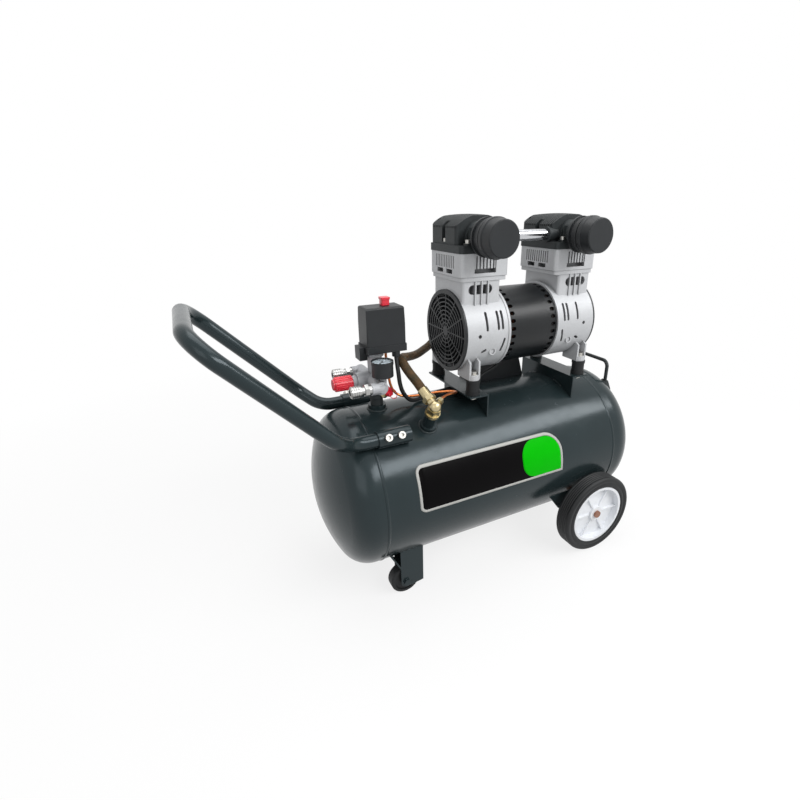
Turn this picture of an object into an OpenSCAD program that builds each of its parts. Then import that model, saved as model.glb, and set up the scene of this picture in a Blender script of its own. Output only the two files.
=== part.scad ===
// Twin-head oil-free air compressor on a wheeled 50-litre tank.
// X runs along the tank, from the pull handle (-X) to the big wheels (+X).
// Z is up and the floor is at z = 0. All sizes are in millimetres.

/* [Tank] */
// Outside diameter of the tank
tank_d = 310; // [290:2:330]
// Length of the cylinder between its two end welds
shell_l = 536; // [500:2:600]
// Thickness of the tank's steel
tank_wall = 3; // [2:0.5:5]
// Height of the tank's axis above the floor
tank_z = 208; // [200:1:225]
// Straight skirt of the end at the handle
front_skirt = 10; // [6:1:20]
// Straight skirt of the end at the wheels
rear_skirt = 18; // [10:1:30]
// How far the round weld beads stand proud
bead_h = 1.2; // [0.6:0.1:2]
// Length of the name panel, which is left blank
badge_l = 330; // [280:2:360]
// Height of the name panel
badge_h = 85; // [60:1:92]
// Thickness of the name panel
badge_t = 1.2; // [0.8:0.1:2]

/* [Handle] */
// Outside diameter of the handle tube
handle_d = 25; // [20:0.5:30]
// Wall of the handle tube
handle_wall = 2; // [1.5:0.5:3]
// Distance between the two arms, centre to centre
arms_gap = 260; // [220:2:300]
// Distance of the grip bar ahead of the tank's middle
grip_x = 525; // [480:5:580]
// Height of the grip bar
grip_z = 562; // [500:2:620]
// Bend radius at the grip's two corners
grip_r = 55; // [40:1:90]
// Bend radius of the other bends
bend_r = 50; // [40:1:60]
// Distance between the two sockets' axes
sockets_gap = 198; // [180:2:220]
// Length of each socket
socket_l = 62; // [50:1:80]
// Wall of each socket
socket_wall = 2.8; // [2:0.1:5]
// Distance of the sockets' open ends ahead of the tank's middle
socket_x = 267; // [250:1:275]
// Diameter of the socket bolts
bolt_d = 8; // [6:1:8]
// Diameter of the rod handle on the rear end
rod_d = 8; // [6:0.5:10]
// Width of the rod handle, between its leg axes
rod_w = 100; // [80:2:120]
// Height of the rod handle's bar above the tank's top
rod_rise = 25; // [15:1:40]
// Distance of the rod handle's legs behind the rear end's weld
rod_back = 43; // [34:1:48]

/* [Wheels] */
// Diameter of the big wheels
wheel_d = 181; // [170:1:190]
// Width of the big wheels
wheel_w = 38; // [30:1:42]
// Diameter of the rim that the tyre sits on
rim_d = 135; // [120:1:146]
// Clearance between each big wheel and the tank
wheel_clear = 1.7; // [1:0.1:8]
// Diameter of the axle
axle_d = 10; // [8:1:14]
// Distance of the axle behind the tank's middle
axle_x = 205; // [190:1:225]
// Diameter of the caster wheels
caster_d = 60; // [50:1:64]
// Width of the caster wheels
caster_w = 22; // [16:1:26]
// Distance of the caster wheels ahead of the tank's middle
caster_x = 226; // [210:1:240]
// Distance of each caster from the middle plane
caster_y = 100; // [85:1:110]
// Thickness of the wheel brackets' sheet
sheet = 3; // [2:0.5:5]

/* [Pump] */
// Distance of the motor's middle behind the tank's middle
pump_x = 78; // [60:1:95]
// Length of the motor shell
motor_l = 115; // [100:1:130]
// Outside diameter of the motor shell
motor_d = 152; // [146:1:156]
// Length of each crankcase barrel
case_l = 95; // [90:1:100]
// Outside diameter of each crankcase barrel
case_d = 158; // [156:1:162]
// Wall of each crankcase
case_wall = 6; // [4:0.5:8]
// Depth of each fan grille
grille_h = 4; // [4:1:12]
// Height of the shaft above the soles of the feet
foot_drop = 82; // [80:1:90]
// Distance of the feet from the motor's middle
foot_x = 134; // [128:1:138]
// Distance of the feet from the middle plane
foot_y = 70; // [64:1:76]
// Diameter of the rubber mounts
rubber_d = 28; // [22:1:32]
// Height of the rubber mounts
rubber_h = 30; // [24:1:36]
// Height of the mounting plates above the tank's top
plate_rise = 21; // [16:1:28]
// Width of the mounting plates
plate_w = 42; // [36:1:48]
// Length of the mounting plates
plate_l = 174; // [168:1:190]
// Diameter of the motor shaft
shaft_d = 14; // [12:1:18]
// Crank throw, which is half the stroke
throw = 8; // [6:0.5:10]

/* [Heads] */
// Height of the cylinder block's foot above the shaft
block_z = 98.5; // [96:0.5:104]
// Size of the cylinder block along the shaft
block_x = 104; // [96:1:110]
// Size of the cylinder block across the shaft
block_y = 116; // [106:1:122]
// Height of the cylinder block
block_h = 48.5; // [42:0.5:56]
// Cylinder bore
bore_d = 60; // [50:1:64]
// Height of the head cover at its crown
cover_h = 64; // [58:1:72]
// Height of the head cover at its ends
cover_end_h = 44; // [38:1:48]
// Ledge of the base flange on the filter side of the head cover
cover_ledge = 21; // [16:1:26]
// Height of the head cover's base flange
flange_h = 13; // [10:1:16]
// Diameter of the air filters
filter_d = 69; // [60:1:74]
// Diameter of the flat face of the filter caps
filter_face_d = 59; // [50:1:64]
// Distance of the filter faces from the middle plane
filter_y = 124; // [112:1:132]
// Diameter of the transfer tube between the heads
transfer_d = 21; // [16:1:24]

/* [Controls] */
// Distance of the standpipe ahead of the tank's middle
stand_x = 227; // [215:1:240]
// Diameter of the standpipe
stand_d = 24; // [20:1:28]
// Height of the manifold's cross tube above the tank's top
manifold_rise = 60; // [54:1:70]
// Diameter of the manifold's cross tube
manifold_d = 24; // [20:1:28]
// Distance of each outlet from the middle plane
outlet_y = 53; // [48:1:60]
// Size of the pressure switch along the tank
switch_w = 78; // [70:1:86]
// Size of the pressure switch across the tank
switch_dp = 50; // [44:1:54]
// Height of the pressure switch
switch_h = 81; // [70:1:90]
// Height of the switch's sole above the manifold's cross tube
switch_rise = 53; // [50:1:60]
// Diameter of the red switch button
button_d = 17; // [14:1:20]
// Travel of the red switch button
button_travel = 5; // [3:0.5:7]
// Diameter of the pressure gauge
gauge_d = 40; // [36:1:44]
// Height of the gauge's case
gauge_h = 28; // [22:1:32]
// Bore of the quick couplers
coupler_bore = 10.4; // [8:0.2:11]
// Travel of the quick couplers' sleeves
sleeve_travel = 5; // [3:0.5:6]
// Diameter of the regulator knob
reg_d = 27; // [24:1:32]
// Length of the regulator knob
reg_l = 36; // [30:1:40]
// Travel of the safety valve's ring
ring_travel = 3; // [2:0.5:4]

/* [Pipes] */
// Diameter of the discharge hose
hose_d = 17; // [14:0.5:18]
// Diameter of the unloader tube
unloader_d = 5; // [4:0.5:6]
// Diameter of the motor's lead
lead_d = 8; // [6:0.5:9]

/* [Fits] */
// Radial clearance of shafts, pins and slides that run in a hole
run_gap = 0.05; // [0.02:0.01:0.1]
// Gap between parts that move past each other
free_gap = 0.6; // [0.4:0.1:1]
// Radial clearance of bolts in their holes
bolt_gap = 0.2; // [0.1:0.1:0.5]

/* [Hidden] */
$fn = 96;

// gap where a piece is seated on another one
seat_gap = 0.3;

// tank
tank_r = tank_d / 2;
tank_top = tank_z + tank_r;
half_l = (front_skirt + shell_l + rear_skirt) / 2;
shell_x0 = front_skirt - half_l;
shell_x1 = half_l - rear_skirt;
crown_r = 0.9 * tank_d;
knuckle_r = 0.173 * tank_d;
crown_drop = sqrt(pow(crown_r - knuckle_r, 2) - pow(tank_r - knuckle_r, 2));
head_h = crown_r - crown_drop;

// the frame's origin lies under the middle of the whole compressor
shift_x = (grip_x + handle_d / 2 - half_l - head_h) / 2;

// handle
socket_d = handle_d + 2 * (socket_wall + bolt_gap);
socket_y = sockets_gap / 2;
socket_z = tank_z + sqrt(pow(tank_r + socket_d / 2, 2) - pow(socket_y, 2));
run_end_x = 310;
elbow_x = 345;
elbow_z = socket_z + 27;
socket_bolts = [16, 40];
socket_bolt_turn = 27;
bolt_head_d = 1.6 * bolt_d;
bolt_head_h = 0.9 * bolt_d;

// wheels, which stand just clear of the tank's side at the height of their tops
axle_z = wheel_d / 2;
wheel_in = sqrt(pow(tank_r, 2) - pow(tank_z - wheel_d, 2)) + wheel_clear;
wheel_y = wheel_in + wheel_w;
hub_d = 34;
bracket_y = wheel_in - 16;
inner_y = bracket_y - 24;
bracket_reach = [-100, 52];
lug_r = 15;
caster_z = caster_d / 2;
fork_gap = 3;
caster_pin_d = 8;

// pump, as seen from the motor's middle
plate_z = tank_top + plate_rise;
foot_z = plate_z + rubber_h;
shaft_z = foot_z + foot_drop;
head_x = motor_l / 2 + (case_l + grille_h) / 2;
case_x1 = motor_l / 2 + case_l;
plate_x = foot_x - 6;
deck_z = shaft_z + block_z;
gasket_z = deck_z + block_h;
fan_d = case_d - 2 * case_wall - 8;
fan_in = 3;
bearing_d = 2 * shaft_d + 4;
bulkhead = 9;
stator_d = motor_d - 12;
core_d = 80;
core_l = 85;
cam_d = 40;
mount_stud_d = 8;
filter_x = -8;
filter_z = gasket_z + 27;
transfer_y = -26;
transfer_z = gasket_z + 26;
arch_r = (pow(block_x / 2 - 1.6, 2) + pow(cover_h - cover_end_h, 2)) / (2 * (cover_h - cover_end_h));

// controls, as seen from the standpipe's foot
cross_z = tank_top + manifold_rise;
cross_x = -10;
port_x0 = -29;
port_d = 22;
column_d = 27;
switch_z = cross_z + switch_rise;
switch_x = 17;
lip_h = 13;
button_x = 24;
gauge_y = -46;
gauge_x = -3;
gauge_z = cross_z + manifold_d / 2 + 7;
relief_z = 17;
relief_turn = [0, 52, -45];
valve_x = -158;
valve_turn = 30.4;
valve_boss_h = 36;
valve_mid = 58;
inlet_turn = [0, 55.5, 105.5];
branch_turn = [0, 80, 36];
branch_l = 26;
gland_x = 36;
gland_y = -17;
gland_h = 10;
nipple_x = 24;
nipple_y = 4;
lead_hole_x = 50;

// routes of the hose, the tube and the lead, from the tank's middle
hose_route = [
  [-166.8, -76.2, 414.6], [-171, -60, 426], [-176, -44, 437], [-179.5, -29, 448], [-178, -13, 454.5],
  [-169, 3, 454], [-155, 21, 448], [-133, 43, 441], [-110, 63, 437], [-86, 82, 438], [-63, 95, 444],
  [-45, 99, 460], [-34, 99, 488], [-28, 98, 522], [-25, 97, 562], [-23, 93, 600], [-21, 86, 630],
  [-21, 80, 650]
];
unloader_route = [
  [-203, 4, 473], [-203, 4, 462], [-202, 3, 448], [-200, 2, 424], [-197, 2, 405], [-190, 2, 389],
  [-177, -1, 379], [-156, -7, 376], [-131, -15, 378], [-109, -26, 382], [-93, -38, 385],
  [-84, -50, 387], [-88, -61, 390], [-101, -71, 394], [-118, -80, 397], [-131, -88.3, 397.6],
  [-141.6, -96, 395.3]
];
lead_route = [
  [-191, -17, 476.5], [-191, -17, 466], [-191.5, -22, 450], [-192, -28, 434], [-191, -30, 418],
  [-187, -30, 402], [-179, -27, 388], [-166, -20, 375], [-150, -11, 368.3], [-134, -5, 368],
  [-113, 1, 368], [-92, 6, 368.3], [-68, 10, 369], [-45, 10, 370], [-22, 10, 373], [0, 9, 380],
  [22, 6, 392], [40, 2, 402], [49, 0, 411], [50, 0, 421]
];

// ---------------------------------------------------------------- helpers

// Everything below is drawn from the tank's middle and moved to the frame
module placed() {
  translate([shift_x, 0, 0]) children();
}

module at_pump() {
  placed() translate([pump_x, 0, shaft_z]) children();
}

module at_stand() {
  placed() translate([-stand_x, 0, 0]) children();
}

module rod_x(x0, x1, d) {
  translate([x0, 0, 0]) rotate([0, 90, 0]) cylinder(h = x1 - x0, d = d);
}

module rod_y(y0, y1, d) {
  translate([0, y0, 0]) rotate([-90, 0, 0]) cylinder(h = y1 - y0, d = d);
}

module ring_x(x0, x1, d, inner_d) {
  translate([x0, 0, 0]) rotate([0, 90, 0]) linear_extrude(x1 - x0) ring_2d(d, inner_d);
}

module ring_2d(d, inner_d) {
  difference() {
    circle(d = d);
    circle(d = inner_d);
  }
}

module hex_rod(h, flats) {
  cylinder(h = h, r = flats / sqrt(3), $fn = 6);
}

// Rectangle with true round corners
module round_rect(w, l, r) {
  square([w - 2 * r, l], center = true);
  square([w, l - 2 * r], center = true);
  for (sx = [-1, 1], sy = [-1, 1])
    translate([sx * (w / 2 - r), sy * (l / 2 - r)]) circle(r);
}

module slot_2d(l, w) {
  square([l - w, w], center = true);
  for (s = [-1, 1]) translate([s * (l - w) / 2, 0]) circle(d = w);
}

module both_sides() {
  for (s = [0, 1]) mirror([0, s, 0]) children();
}

module both_ends() {
  for (s = [0, 1]) mirror([s, 0, 0]) children();
}

function unit(v) = v / norm(v);

// Bent tube: straight runs between corner points, with a true arc at each inner corner
function corner_turn(p, i) = acos(unit(p[i] - p[i - 1]) * unit(p[i + 1] - p[i]));
function corner_cut(p, i, r) = r[i] * tan(corner_turn(p, i) / 2);

module rod_between(a, b, d) {
  v = b - a;
  translate(a) rotate([0, acos(v[2] / norm(v)), atan2(v[1], v[0])]) cylinder(h = norm(v), d = d);
}

// The bends stand out a hair, and each straight run ends a little inside its bends
module bent_rod(p, r, d) {
  swell = 0.1;
  lap = 0.5;
  last = len(p) - 1;
  for (i = [0 : last - 1]) {
    along = unit(p[i + 1] - p[i]);
    start = i == 0 ? p[0] : p[i] + along * (corner_cut(p, i, r) - lap);
    stop = i == last - 1 ? p[last] : p[i + 1] - along * (corner_cut(p, i + 1, r) - lap);
    rod_between(start, stop, d);
  }
  for (i = [1 : last - 1]) {
    a = unit(p[i] - p[i - 1]);
    b = unit(p[i + 1] - p[i]);
    turn = corner_turn(p, i);
    inward = unit(b - a);
    centre = p[i] + inward * r[i] / cos(turn / 2);
    out = unit(p[i] - a * corner_cut(p, i, r) - centre);
    normal = cross(out, a);
    multmatrix([
      [out[0], a[0], normal[0], centre[0]],
      [out[1], a[1], normal[1], centre[1]],
      [out[2], a[2], normal[2], centre[2]],
      [0, 0, 0, 1]
    ]) rotate_extrude(angle = turn) translate([r[i], 0]) circle(d = d + swell);
  }
}

// Smooth tube through a route: rings on a Catmull-Rom curve, swept as one solid
function curve_point(a, b, c, d, t) =
  0.5 * (2 * b + (c - a) * t + (2 * a - 5 * b + 4 * c - d) * t * t
    + (3 * b - a - 3 * c + d) * t * t * t);
function smooth_route(p, parts) = [
  for (i = [0 : len(p) - 2], k = [0 : parts - 1])
    curve_point(p[max(i - 1, 0)], p[i], p[i + 1], p[min(i + 2, len(p) - 1)], k / parts),
  p[len(p) - 1]
];
function heading(p, i) = unit(p[min(i + 1, len(p) - 1)] - p[max(i - 1, 0)]);
function carried(side, along) = unit(side - (side * along) * along);
function sides_along(p, i = 1, list = []) =
  let (first = carried([0.3, 1, 0.2], heading(p, 0)), kept = i == 1 ? [first] : list)
  i == len(p) ? kept
    : sides_along(p, i + 1, concat(kept, [carried(kept[i - 1], heading(p, i))]));

module swept_tube(route, d, parts, sides) {
  p = smooth_route(route, parts);
  u = sides_along(p);
  rings = len(p);
  points = [
    for (i = [0 : rings - 1])
      let (v = cross(heading(p, i), u[i]))
      for (k = [0 : sides - 1])
        p[i] + d / 2 * (cos(360 * k / sides) * u[i] + sin(360 * k / sides) * v)
  ];
  walls = [
    for (i = [0 : rings - 2], k = [0 : sides - 1])
      let (n = (k + 1) % sides)
      [i * sides + k, (i + 1) * sides + k, (i + 1) * sides + n, i * sides + n]
  ];
  start = [for (k = [0 : sides - 1]) k];
  finish = [for (k = [sides - 1 : -1 : 0]) (rings - 1) * sides + k];
  polyhedron(points, concat(walls, [start, finish]));
}

// ---------------------------------------------------------------- tank

// Height of the tank's underside at distance y from the middle plane
function underside(y) = tank_z - sqrt(pow(tank_r, 2) - pow(y, 2));

// Half section of a dished end: a crown arc that runs into a knuckle arc
module head_2d(inset) {
  lean = atan2(crown_drop, tank_r - knuckle_r);
  far = 2 * crown_r;
  intersection() {
    union() {
      intersection() {
        translate([0, -crown_drop]) circle(crown_r - inset);
        polygon([
          [0, -crown_drop],
          [far * cos(lean), far * sin(lean) - crown_drop],
          [0, far]
        ]);
      }
      translate([tank_r - knuckle_r, 0]) circle(knuckle_r - inset);
    }
    square([tank_r, head_h]);
  }
}

// The same with its straight skirt, which ends at height -skirt
module skirted_2d(inset, skirt) {
  head_2d(inset);
  translate([0, -skirt]) square([tank_r - inset, skirt]);
}

module tank_solid() {
  translate([0, 0, tank_z]) {
    rod_x(-half_l, half_l, tank_d);
    for (s = [-1, 1])
      translate([s * half_l, 0, 0]) rotate([0, s * 90, 0]) rotate_extrude() head_2d(0);
  }
}

module tank_barrel() {
  translate([0, 0, tank_z]) rod_x(-half_l, half_l, tank_d);
}

module weld_bead(x) {
  bead_r = 4;
  translate([x, 0, 0]) rotate([0, 90, 0]) rotate_extrude() intersection() {
    translate([tank_r + bead_h - bead_r, 0]) circle(bead_r);
    translate([tank_r, -bead_r]) square([bead_r, 2 * bead_r]);
  }
}

module tank_shell() {
  color([0.16, 0.2, 0.21]) placed() translate([0, 0, tank_z]) {
    difference() {
      rod_x(shell_x0, shell_x1, tank_d);
      rod_x(shell_x0 - 1, shell_x1 + 1, tank_d - 2 * tank_wall);
    }
    weld_bead(shell_x0);
    weld_bead(shell_x1);
  }
}

module dished_end(skirt) {
  rotate_extrude() difference() {
    skirted_2d(0, skirt);
    skirted_2d(tank_wall, skirt + 1);
  }
}

module tank_head_front() {
  color([0.16, 0.2, 0.21]) placed()
    translate([-half_l, 0, tank_z]) rotate([0, -90, 0]) dished_end(front_skirt);
}

module tank_head_rear() {
  color([0.16, 0.2, 0.21]) placed()
    translate([half_l, 0, tank_z]) rotate([0, 90, 0]) dished_end(rear_skirt);
}

// Axis of the check valve's boss, square to the tank's skin
module at_valve() {
  translate([valve_x, 0, tank_z]) rotate([valve_turn, 0, 0]) translate([0, 0, tank_r]) children();
}

module tank_ports() {
  boss_d = stand_d + 10;
  boss_h = 9;
  drain_boss_d = 22;
  color([0.13, 0.16, 0.17]) placed() difference() {
    union() {
      translate([-stand_x, 0, tank_top - 6]) cylinder(h = boss_h + 6, d = boss_d);
      at_valve() translate([0, 0, -6]) {
        cylinder(h = valve_boss_h + 6, d = 25);
        cylinder(h = 14, d = 31);
      }
      translate([0, 0, tank_z - tank_r - 8]) cylinder(h = 14, d = drain_boss_d);
    }
    tank_barrel();
    translate([-stand_x, 0, tank_top]) cylinder(h = boss_h + 1, d = stand_d);
    translate([0, 0, tank_z - tank_r - 9]) cylinder(h = 12, d = 12);
  }
}

// A skin of the tank's side, from height h0 to h1 above its surface
module side_skin(h0, h1) {
  intersection() {
    translate([0, 0, tank_z]) ring_x(-half_l, half_l, tank_d + 2 * h1, tank_d + 2 * h0);
    translate([-half_l, -tank_r - 10, 0]) cube([2 * half_l, tank_r, 2 * tank_z]);
  }
}

module on_side(h0, h1) {
  intersection() {
    side_skin(h0, h1);
    translate([badge_mid_x, 0, badge_mid_z]) rotate([90, 0, 0])
      linear_extrude(tank_r + 10) children();
  }
}

badge_mid_x = -46.5;
badge_mid_z = tank_z + 45;
badge_rim = 6;
badge_r = 14;
badge_big_r = 0.5 * badge_h;

// Outline of the name panel, brought in all round: round corners on the left, one wide
// corner at the upper right and a sharp one below it
module panel_2d(inset) {
  l = badge_l - 2 * inset;
  h = badge_h - 2 * inset;
  r = badge_r - inset;
  big = badge_big_r - inset;
  translate([-l / 2, -h / 2]) {
    translate([r, 0]) square([l - r - big, h]);
    translate([0, r]) square([l, h - r - big]);
    translate([r, 0]) square([l - r, r + 1]);
    translate([0, r]) square([2 * r, h - 2 * r]);
    for (y = [r, h - r]) translate([r, y]) circle(r);
    translate([l - big, h - big]) circle(big);
  }
}

module badge_plate() {
  color([0.03, 0.03, 0.03]) placed() {
    on_side(0, badge_t / 2) panel_2d(0);
    on_side(badge_t / 2, badge_t) difference() {
      panel_2d(0);
      panel_2d(badge_rim);
    }
  }
}

// Green end of the name panel
module badge_leaf() {
  leaf_l = 0.29 * badge_l;
  leaf_h = badge_h - 2 * badge_rim;
  color([0.1, 0.6, 0.15]) placed() on_side(badge_t / 2, badge_t) intersection() {
    panel_2d(badge_rim + seat_gap);
    translate([badge_l / 2 - badge_rim - leaf_l / 2 + 50, 0])
      round_rect(leaf_l + 100, leaf_h, 0.42 * leaf_h);
  }
}

module drain_body() {
  color("goldenrod") placed() difference() {
    union() {
      translate([0, 0, tank_z - tank_r - 8]) cylinder(h = 8 - seat_gap, d = 12);
      translate([0, 0, tank_z - tank_r - 16]) hex_rod(8, 14);
      translate([0, 0, tank_z - tank_r - 22]) cylinder(h = 6, d = 10);
    }
    translate([0, 0, tank_z - tank_r - 23]) cylinder(h = 13, r = 2.5 + run_gap);
  }
}

module drain_wing() {
  base = tank_z - tank_r - 22;
  color("gold") placed() {
    translate([0, 0, base - free_gap - 4]) cylinder(h = 4 + free_gap + 10, r = 2.5);
    translate([0, 0, base - free_gap - 3]) cube([24, 3, 6], center = true);
  }
}

// ---------------------------------------------------------------- handle

// Near half of the handle: from its end in the socket to the middle of the grip
half_handle = [
  [-(socket_x - socket_l + 4), -socket_y, socket_z],
  [-run_end_x, -socket_y, socket_z],
  [-elbow_x, -arms_gap / 2, elbow_z],
  [-grip_x, -arms_gap / 2, grip_z],
  [-grip_x, 0, grip_z]
];
half_bends = [0, bend_r, bend_r, grip_r, 0];

module handle_tube() {
  color([0.14, 0.18, 0.19]) placed() difference() {
    both_sides() bent_rod(half_handle, half_bends, handle_d);
    both_sides() bent_rod(half_handle, half_bends, handle_d - 2 * handle_wall);
    both_sides() socket_bolt_places() cylinder(h = handle_d, d = bolt_d + 2 * bolt_gap);
  }
}

// Bolt axes of the near socket: they point out of the socket's side, a little upward
module socket_bolt_places() {
  for (x = socket_bolts)
    translate([-socket_x + x, -socket_y, socket_z]) rotate([90 - socket_bolt_turn, 0, 0]) children();
}

module handle_sockets() {
  saddle_w = 16;
  saddle_in = 2;
  lean = atan2(socket_y, socket_z - tank_z);
  color([0.14, 0.18, 0.19]) placed() both_sides() difference() {
    union() {
      translate([0, -socket_y, socket_z]) rod_x(-socket_x, -socket_x + socket_l, socket_d);
      translate([-socket_x + saddle_in, 0, tank_z]) rotate([lean, 0, 0])
        translate([0, -saddle_w / 2, tank_r - 4])
          cube([socket_l - 2 * saddle_in, saddle_w, socket_d / 2 + 2]);
    }
    tank_barrel();
    translate([0, -socket_y, socket_z])
      rod_x(-socket_x - 1, -socket_x + socket_l + 1, handle_d + 2 * bolt_gap);
    socket_bolt_places() cylinder(h = socket_d, d = bolt_d + 2 * bolt_gap);
  }
}

module handle_bolts() {
  placed() both_sides() socket_bolt_places() difference() {
    union() {
      translate([0, 0, handle_d / 2 - handle_wall - 3])
        cylinder(h = socket_d / 2 - handle_d / 2 + handle_wall + 4, d = bolt_d);
      translate([0, 0, socket_d / 2]) cylinder(h = bolt_head_h, d = bolt_head_d);
    }
    translate([0, 0, socket_d / 2 + bolt_head_h - 4]) hex_rod(5, 0.75 * bolt_d);
  }
}

rod_x0 = half_l + rod_back;
rod_z = tank_top + rod_rise;
// height of the rear end's skin where the rod handle's legs meet it
rod_foot_z = tank_z
  + sqrt(pow(crown_r, 2) - pow(crown_drop + rod_back, 2) - pow(rod_w / 2, 2));

foot_lean = atan2(crown_drop + rod_back, rod_foot_z - tank_z);

// Rod handle on two small plates, all cut back from the rear end's skin
module rear_handle() {
  color([0.05, 0.05, 0.05]) placed() difference() {
    union() {
      bent_rod([
        [rod_x0, -rod_w / 2, rod_foot_z - 5], [rod_x0, -rod_w / 2, rod_z],
        [rod_x0, rod_w / 2, rod_z], [rod_x0, rod_w / 2, rod_foot_z - 5]
      ], [0, 14, 14, 0], rod_d);
      both_sides() translate([rod_x0, -rod_w / 2, rod_foot_z]) rotate([0, foot_lean, 0])
        translate([-9, -9, -5]) cube([27, 18, 10]);
    }
    tank_solid();
  }
}

// ---------------------------------------------------------------- wheels

module at_axle() {
  placed() translate([axle_x, 0, axle_z]) children();
}

// Side view of an outer bracket, from the axle: it widens upward to the tank's underside
module bracket_side() {
  top = underside(bracket_y) + 1 - axle_z;
  polygon([
    [bracket_reach[0], top], [0.69 * bracket_reach[0], 0.17 * top],
    [-lug_r + 1, -lug_r + 2], [lug_r - 1, -lug_r + 2],
    [0.88 * bracket_reach[1], 0.4 * top], [bracket_reach[1], top]
  ]);
  circle(lug_r);
}

module axle_brackets() {
  color([0.12, 0.15, 0.16]) both_sides() difference() {
    at_axle() {
      translate([0, -bracket_y + sheet, 0]) rotate([90, 0, 0]) linear_extrude(sheet) bracket_side();
      translate([0, -inner_y + sheet, 0]) rotate([90, 0, 0]) linear_extrude(sheet) {
        polygon([
          [-40, underside(inner_y) + 1 - axle_z], [-lug_r + 1, -lug_r + 2],
          [lug_r - 1, -lug_r + 2], [40, underside(inner_y) + 1 - axle_z]
        ]);
        circle(lug_r);
      }
    }
    placed() tank_barrel();
    at_axle() rod_y(-wheel_y, 0, axle_d);
  }
}

// Two stub axles: a shoulder inside each hub and a cap outside it
module axle() {
  shoulder = wheel_y - wheel_w - free_gap;
  color("peru") at_axle() both_sides() {
    rod_y(-wheel_y + 2, -inner_y + sheet + 3, axle_d);
    rod_y(-shoulder, -bracket_y, axle_d + 8);
    rod_y(-wheel_y + 2, -wheel_y + 7 - free_gap, axle_d + 6);
  }
}

// Half section of a wheel, round its own axis, with the outer face at height 0
module rim() {
  lip = 6;
  web_at = 12;
  inner_d = rim_d - 2 * lip;
  difference() {
    union() {
      rotate_extrude() {
        translate([rim_d / 2 - lip, -wheel_w + 4]) square([lip, wheel_w - 6]);
        translate([hub_d / 2 - 9, -wheel_w]) square([9, wheel_w - 7]);
        polygon([
          [hub_d / 2 - 1, -web_at - 6], [rim_d / 2 - lip + 1, -web_at - 10],
          [rim_d / 2 - lip + 1, -web_at - 5], [hub_d / 2 - 1, -web_at]
        ]);
      }
      for (k = [0 : 5]) rotate(60 * k) translate([hub_d / 2 - 1, -2, -web_at - 7])
        cube([(inner_d - hub_d) / 2 + 2, 4, 9]);
      translate([0, 0, -wheel_w]) cylinder(h = wheel_w - 7, d = hub_d - 4);
    }
    translate([0, 0, -wheel_w - 1]) cylinder(h = wheel_w + 2, d = axle_d + 2 * run_gap);
  }
}

// Tyre with round shoulders and grooves round its tread
module tyre() {
  shoulder = 7;
  groove = [2.2, 2.2];
  pitch = 4.8;
  rotate_extrude() difference() {
    union() {
      translate([rim_d / 2, -wheel_w + shoulder])
        square([wheel_d / 2 - rim_d / 2, wheel_w - 2 * shoulder]);
      translate([rim_d / 2, -wheel_w]) square([wheel_d / 2 - rim_d / 2 - shoulder, wheel_w]);
      for (z = [-shoulder, -wheel_w + shoulder])
        translate([wheel_d / 2 - shoulder, z]) circle(shoulder);
    }
    for (k = [-2 : 2]) translate([wheel_d / 2 - groove[1], k * pitch - (wheel_w + groove[0]) / 2])
      square([groove[1] + 1, groove[0]]);
  }
}

module left_wheel_place() {
  at_axle() translate([0, -wheel_y, 0]) rotate([90, 0, 0]) children();
}

module right_wheel_place() {
  at_axle() translate([0, wheel_y, 0]) rotate([-90, 0, 0]) children();
}

module rim_left() {
  color("white") left_wheel_place() rim();
}

module rim_right() {
  color("white") right_wheel_place() rim();
}

module tyre_left() {
  color([0.08, 0.08, 0.09]) left_wheel_place() tyre();
}

module tyre_right() {
  color([0.08, 0.08, 0.09]) right_wheel_place() tyre();
}

module caster_forks() {
  cheek_y = caster_w / 2 + fork_gap;
  top_z = underside(caster_y + cheek_y + sheet) + 5;
  color([0.12, 0.15, 0.16]) placed() both_sides() translate([-caster_x, -caster_y, 0]) {
    difference() {
      union() {
        both_sides() translate([0, -cheek_y, 0]) rotate([90, 0, 0]) linear_extrude(sheet) {
          polygon([[-12, caster_z], [-12, top_z], [36, top_z], [36, caster_z - 8], [8, caster_z - 12]]);
          translate([0, caster_z]) circle(12);
        }
        translate([-12, -cheek_y - sheet, caster_d + 4]) rotate([0, -28, 0])
          cube([sheet, 2 * (cheek_y + sheet), 60]);
      }
      translate([caster_x, caster_y, 0]) tank_barrel();
      translate([0, 0, caster_z]) rod_y(-caster_y, caster_y, caster_pin_d + 0.02);
    }
    translate([0, 0, caster_z]) {
      rod_y(-cheek_y - sheet - 4, cheek_y + sheet + 4, caster_pin_d);
      both_sides() translate([0, -cheek_y - sheet, 0]) rotate([90, 0, 0]) hex_rod(4.5, 13);
    }
  }
}

module caster_wheel() {
  difference() {
    union() {
      rotate_extrude() {
        translate([0, -caster_w / 2]) square([caster_d / 2 - 3, caster_w]);
        translate([0, -caster_w / 2 + 3]) square([caster_d / 2, caster_w - 6]);
        for (s = [-1, 1]) translate([caster_d / 2 - 3, s * (caster_w / 2 - 3)]) circle(3);
      }
      cylinder(h = caster_w + 2 * (fork_gap - free_gap), d = 16, center = true);
    }
    for (s = [-1, 1]) translate([0, 0, s * caster_w / 2]) rotate_extrude()
      translate([11, -2]) square([caster_d / 2 - 18, 4]);
    cylinder(h = 2 * caster_w, r = caster_pin_d / 2 + run_gap, center = true);
  }
}

module caster_wheel_left() {
  color([0.06, 0.06, 0.06]) placed()
    translate([-caster_x, -caster_y, caster_z]) rotate([90, 0, 0]) caster_wheel();
}

module caster_wheel_right() {
  color([0.06, 0.06, 0.06]) placed()
    translate([-caster_x, caster_y, caster_z]) rotate([90, 0, 0]) caster_wheel();
}

// ---------------------------------------------------------------- pump mounting

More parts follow.
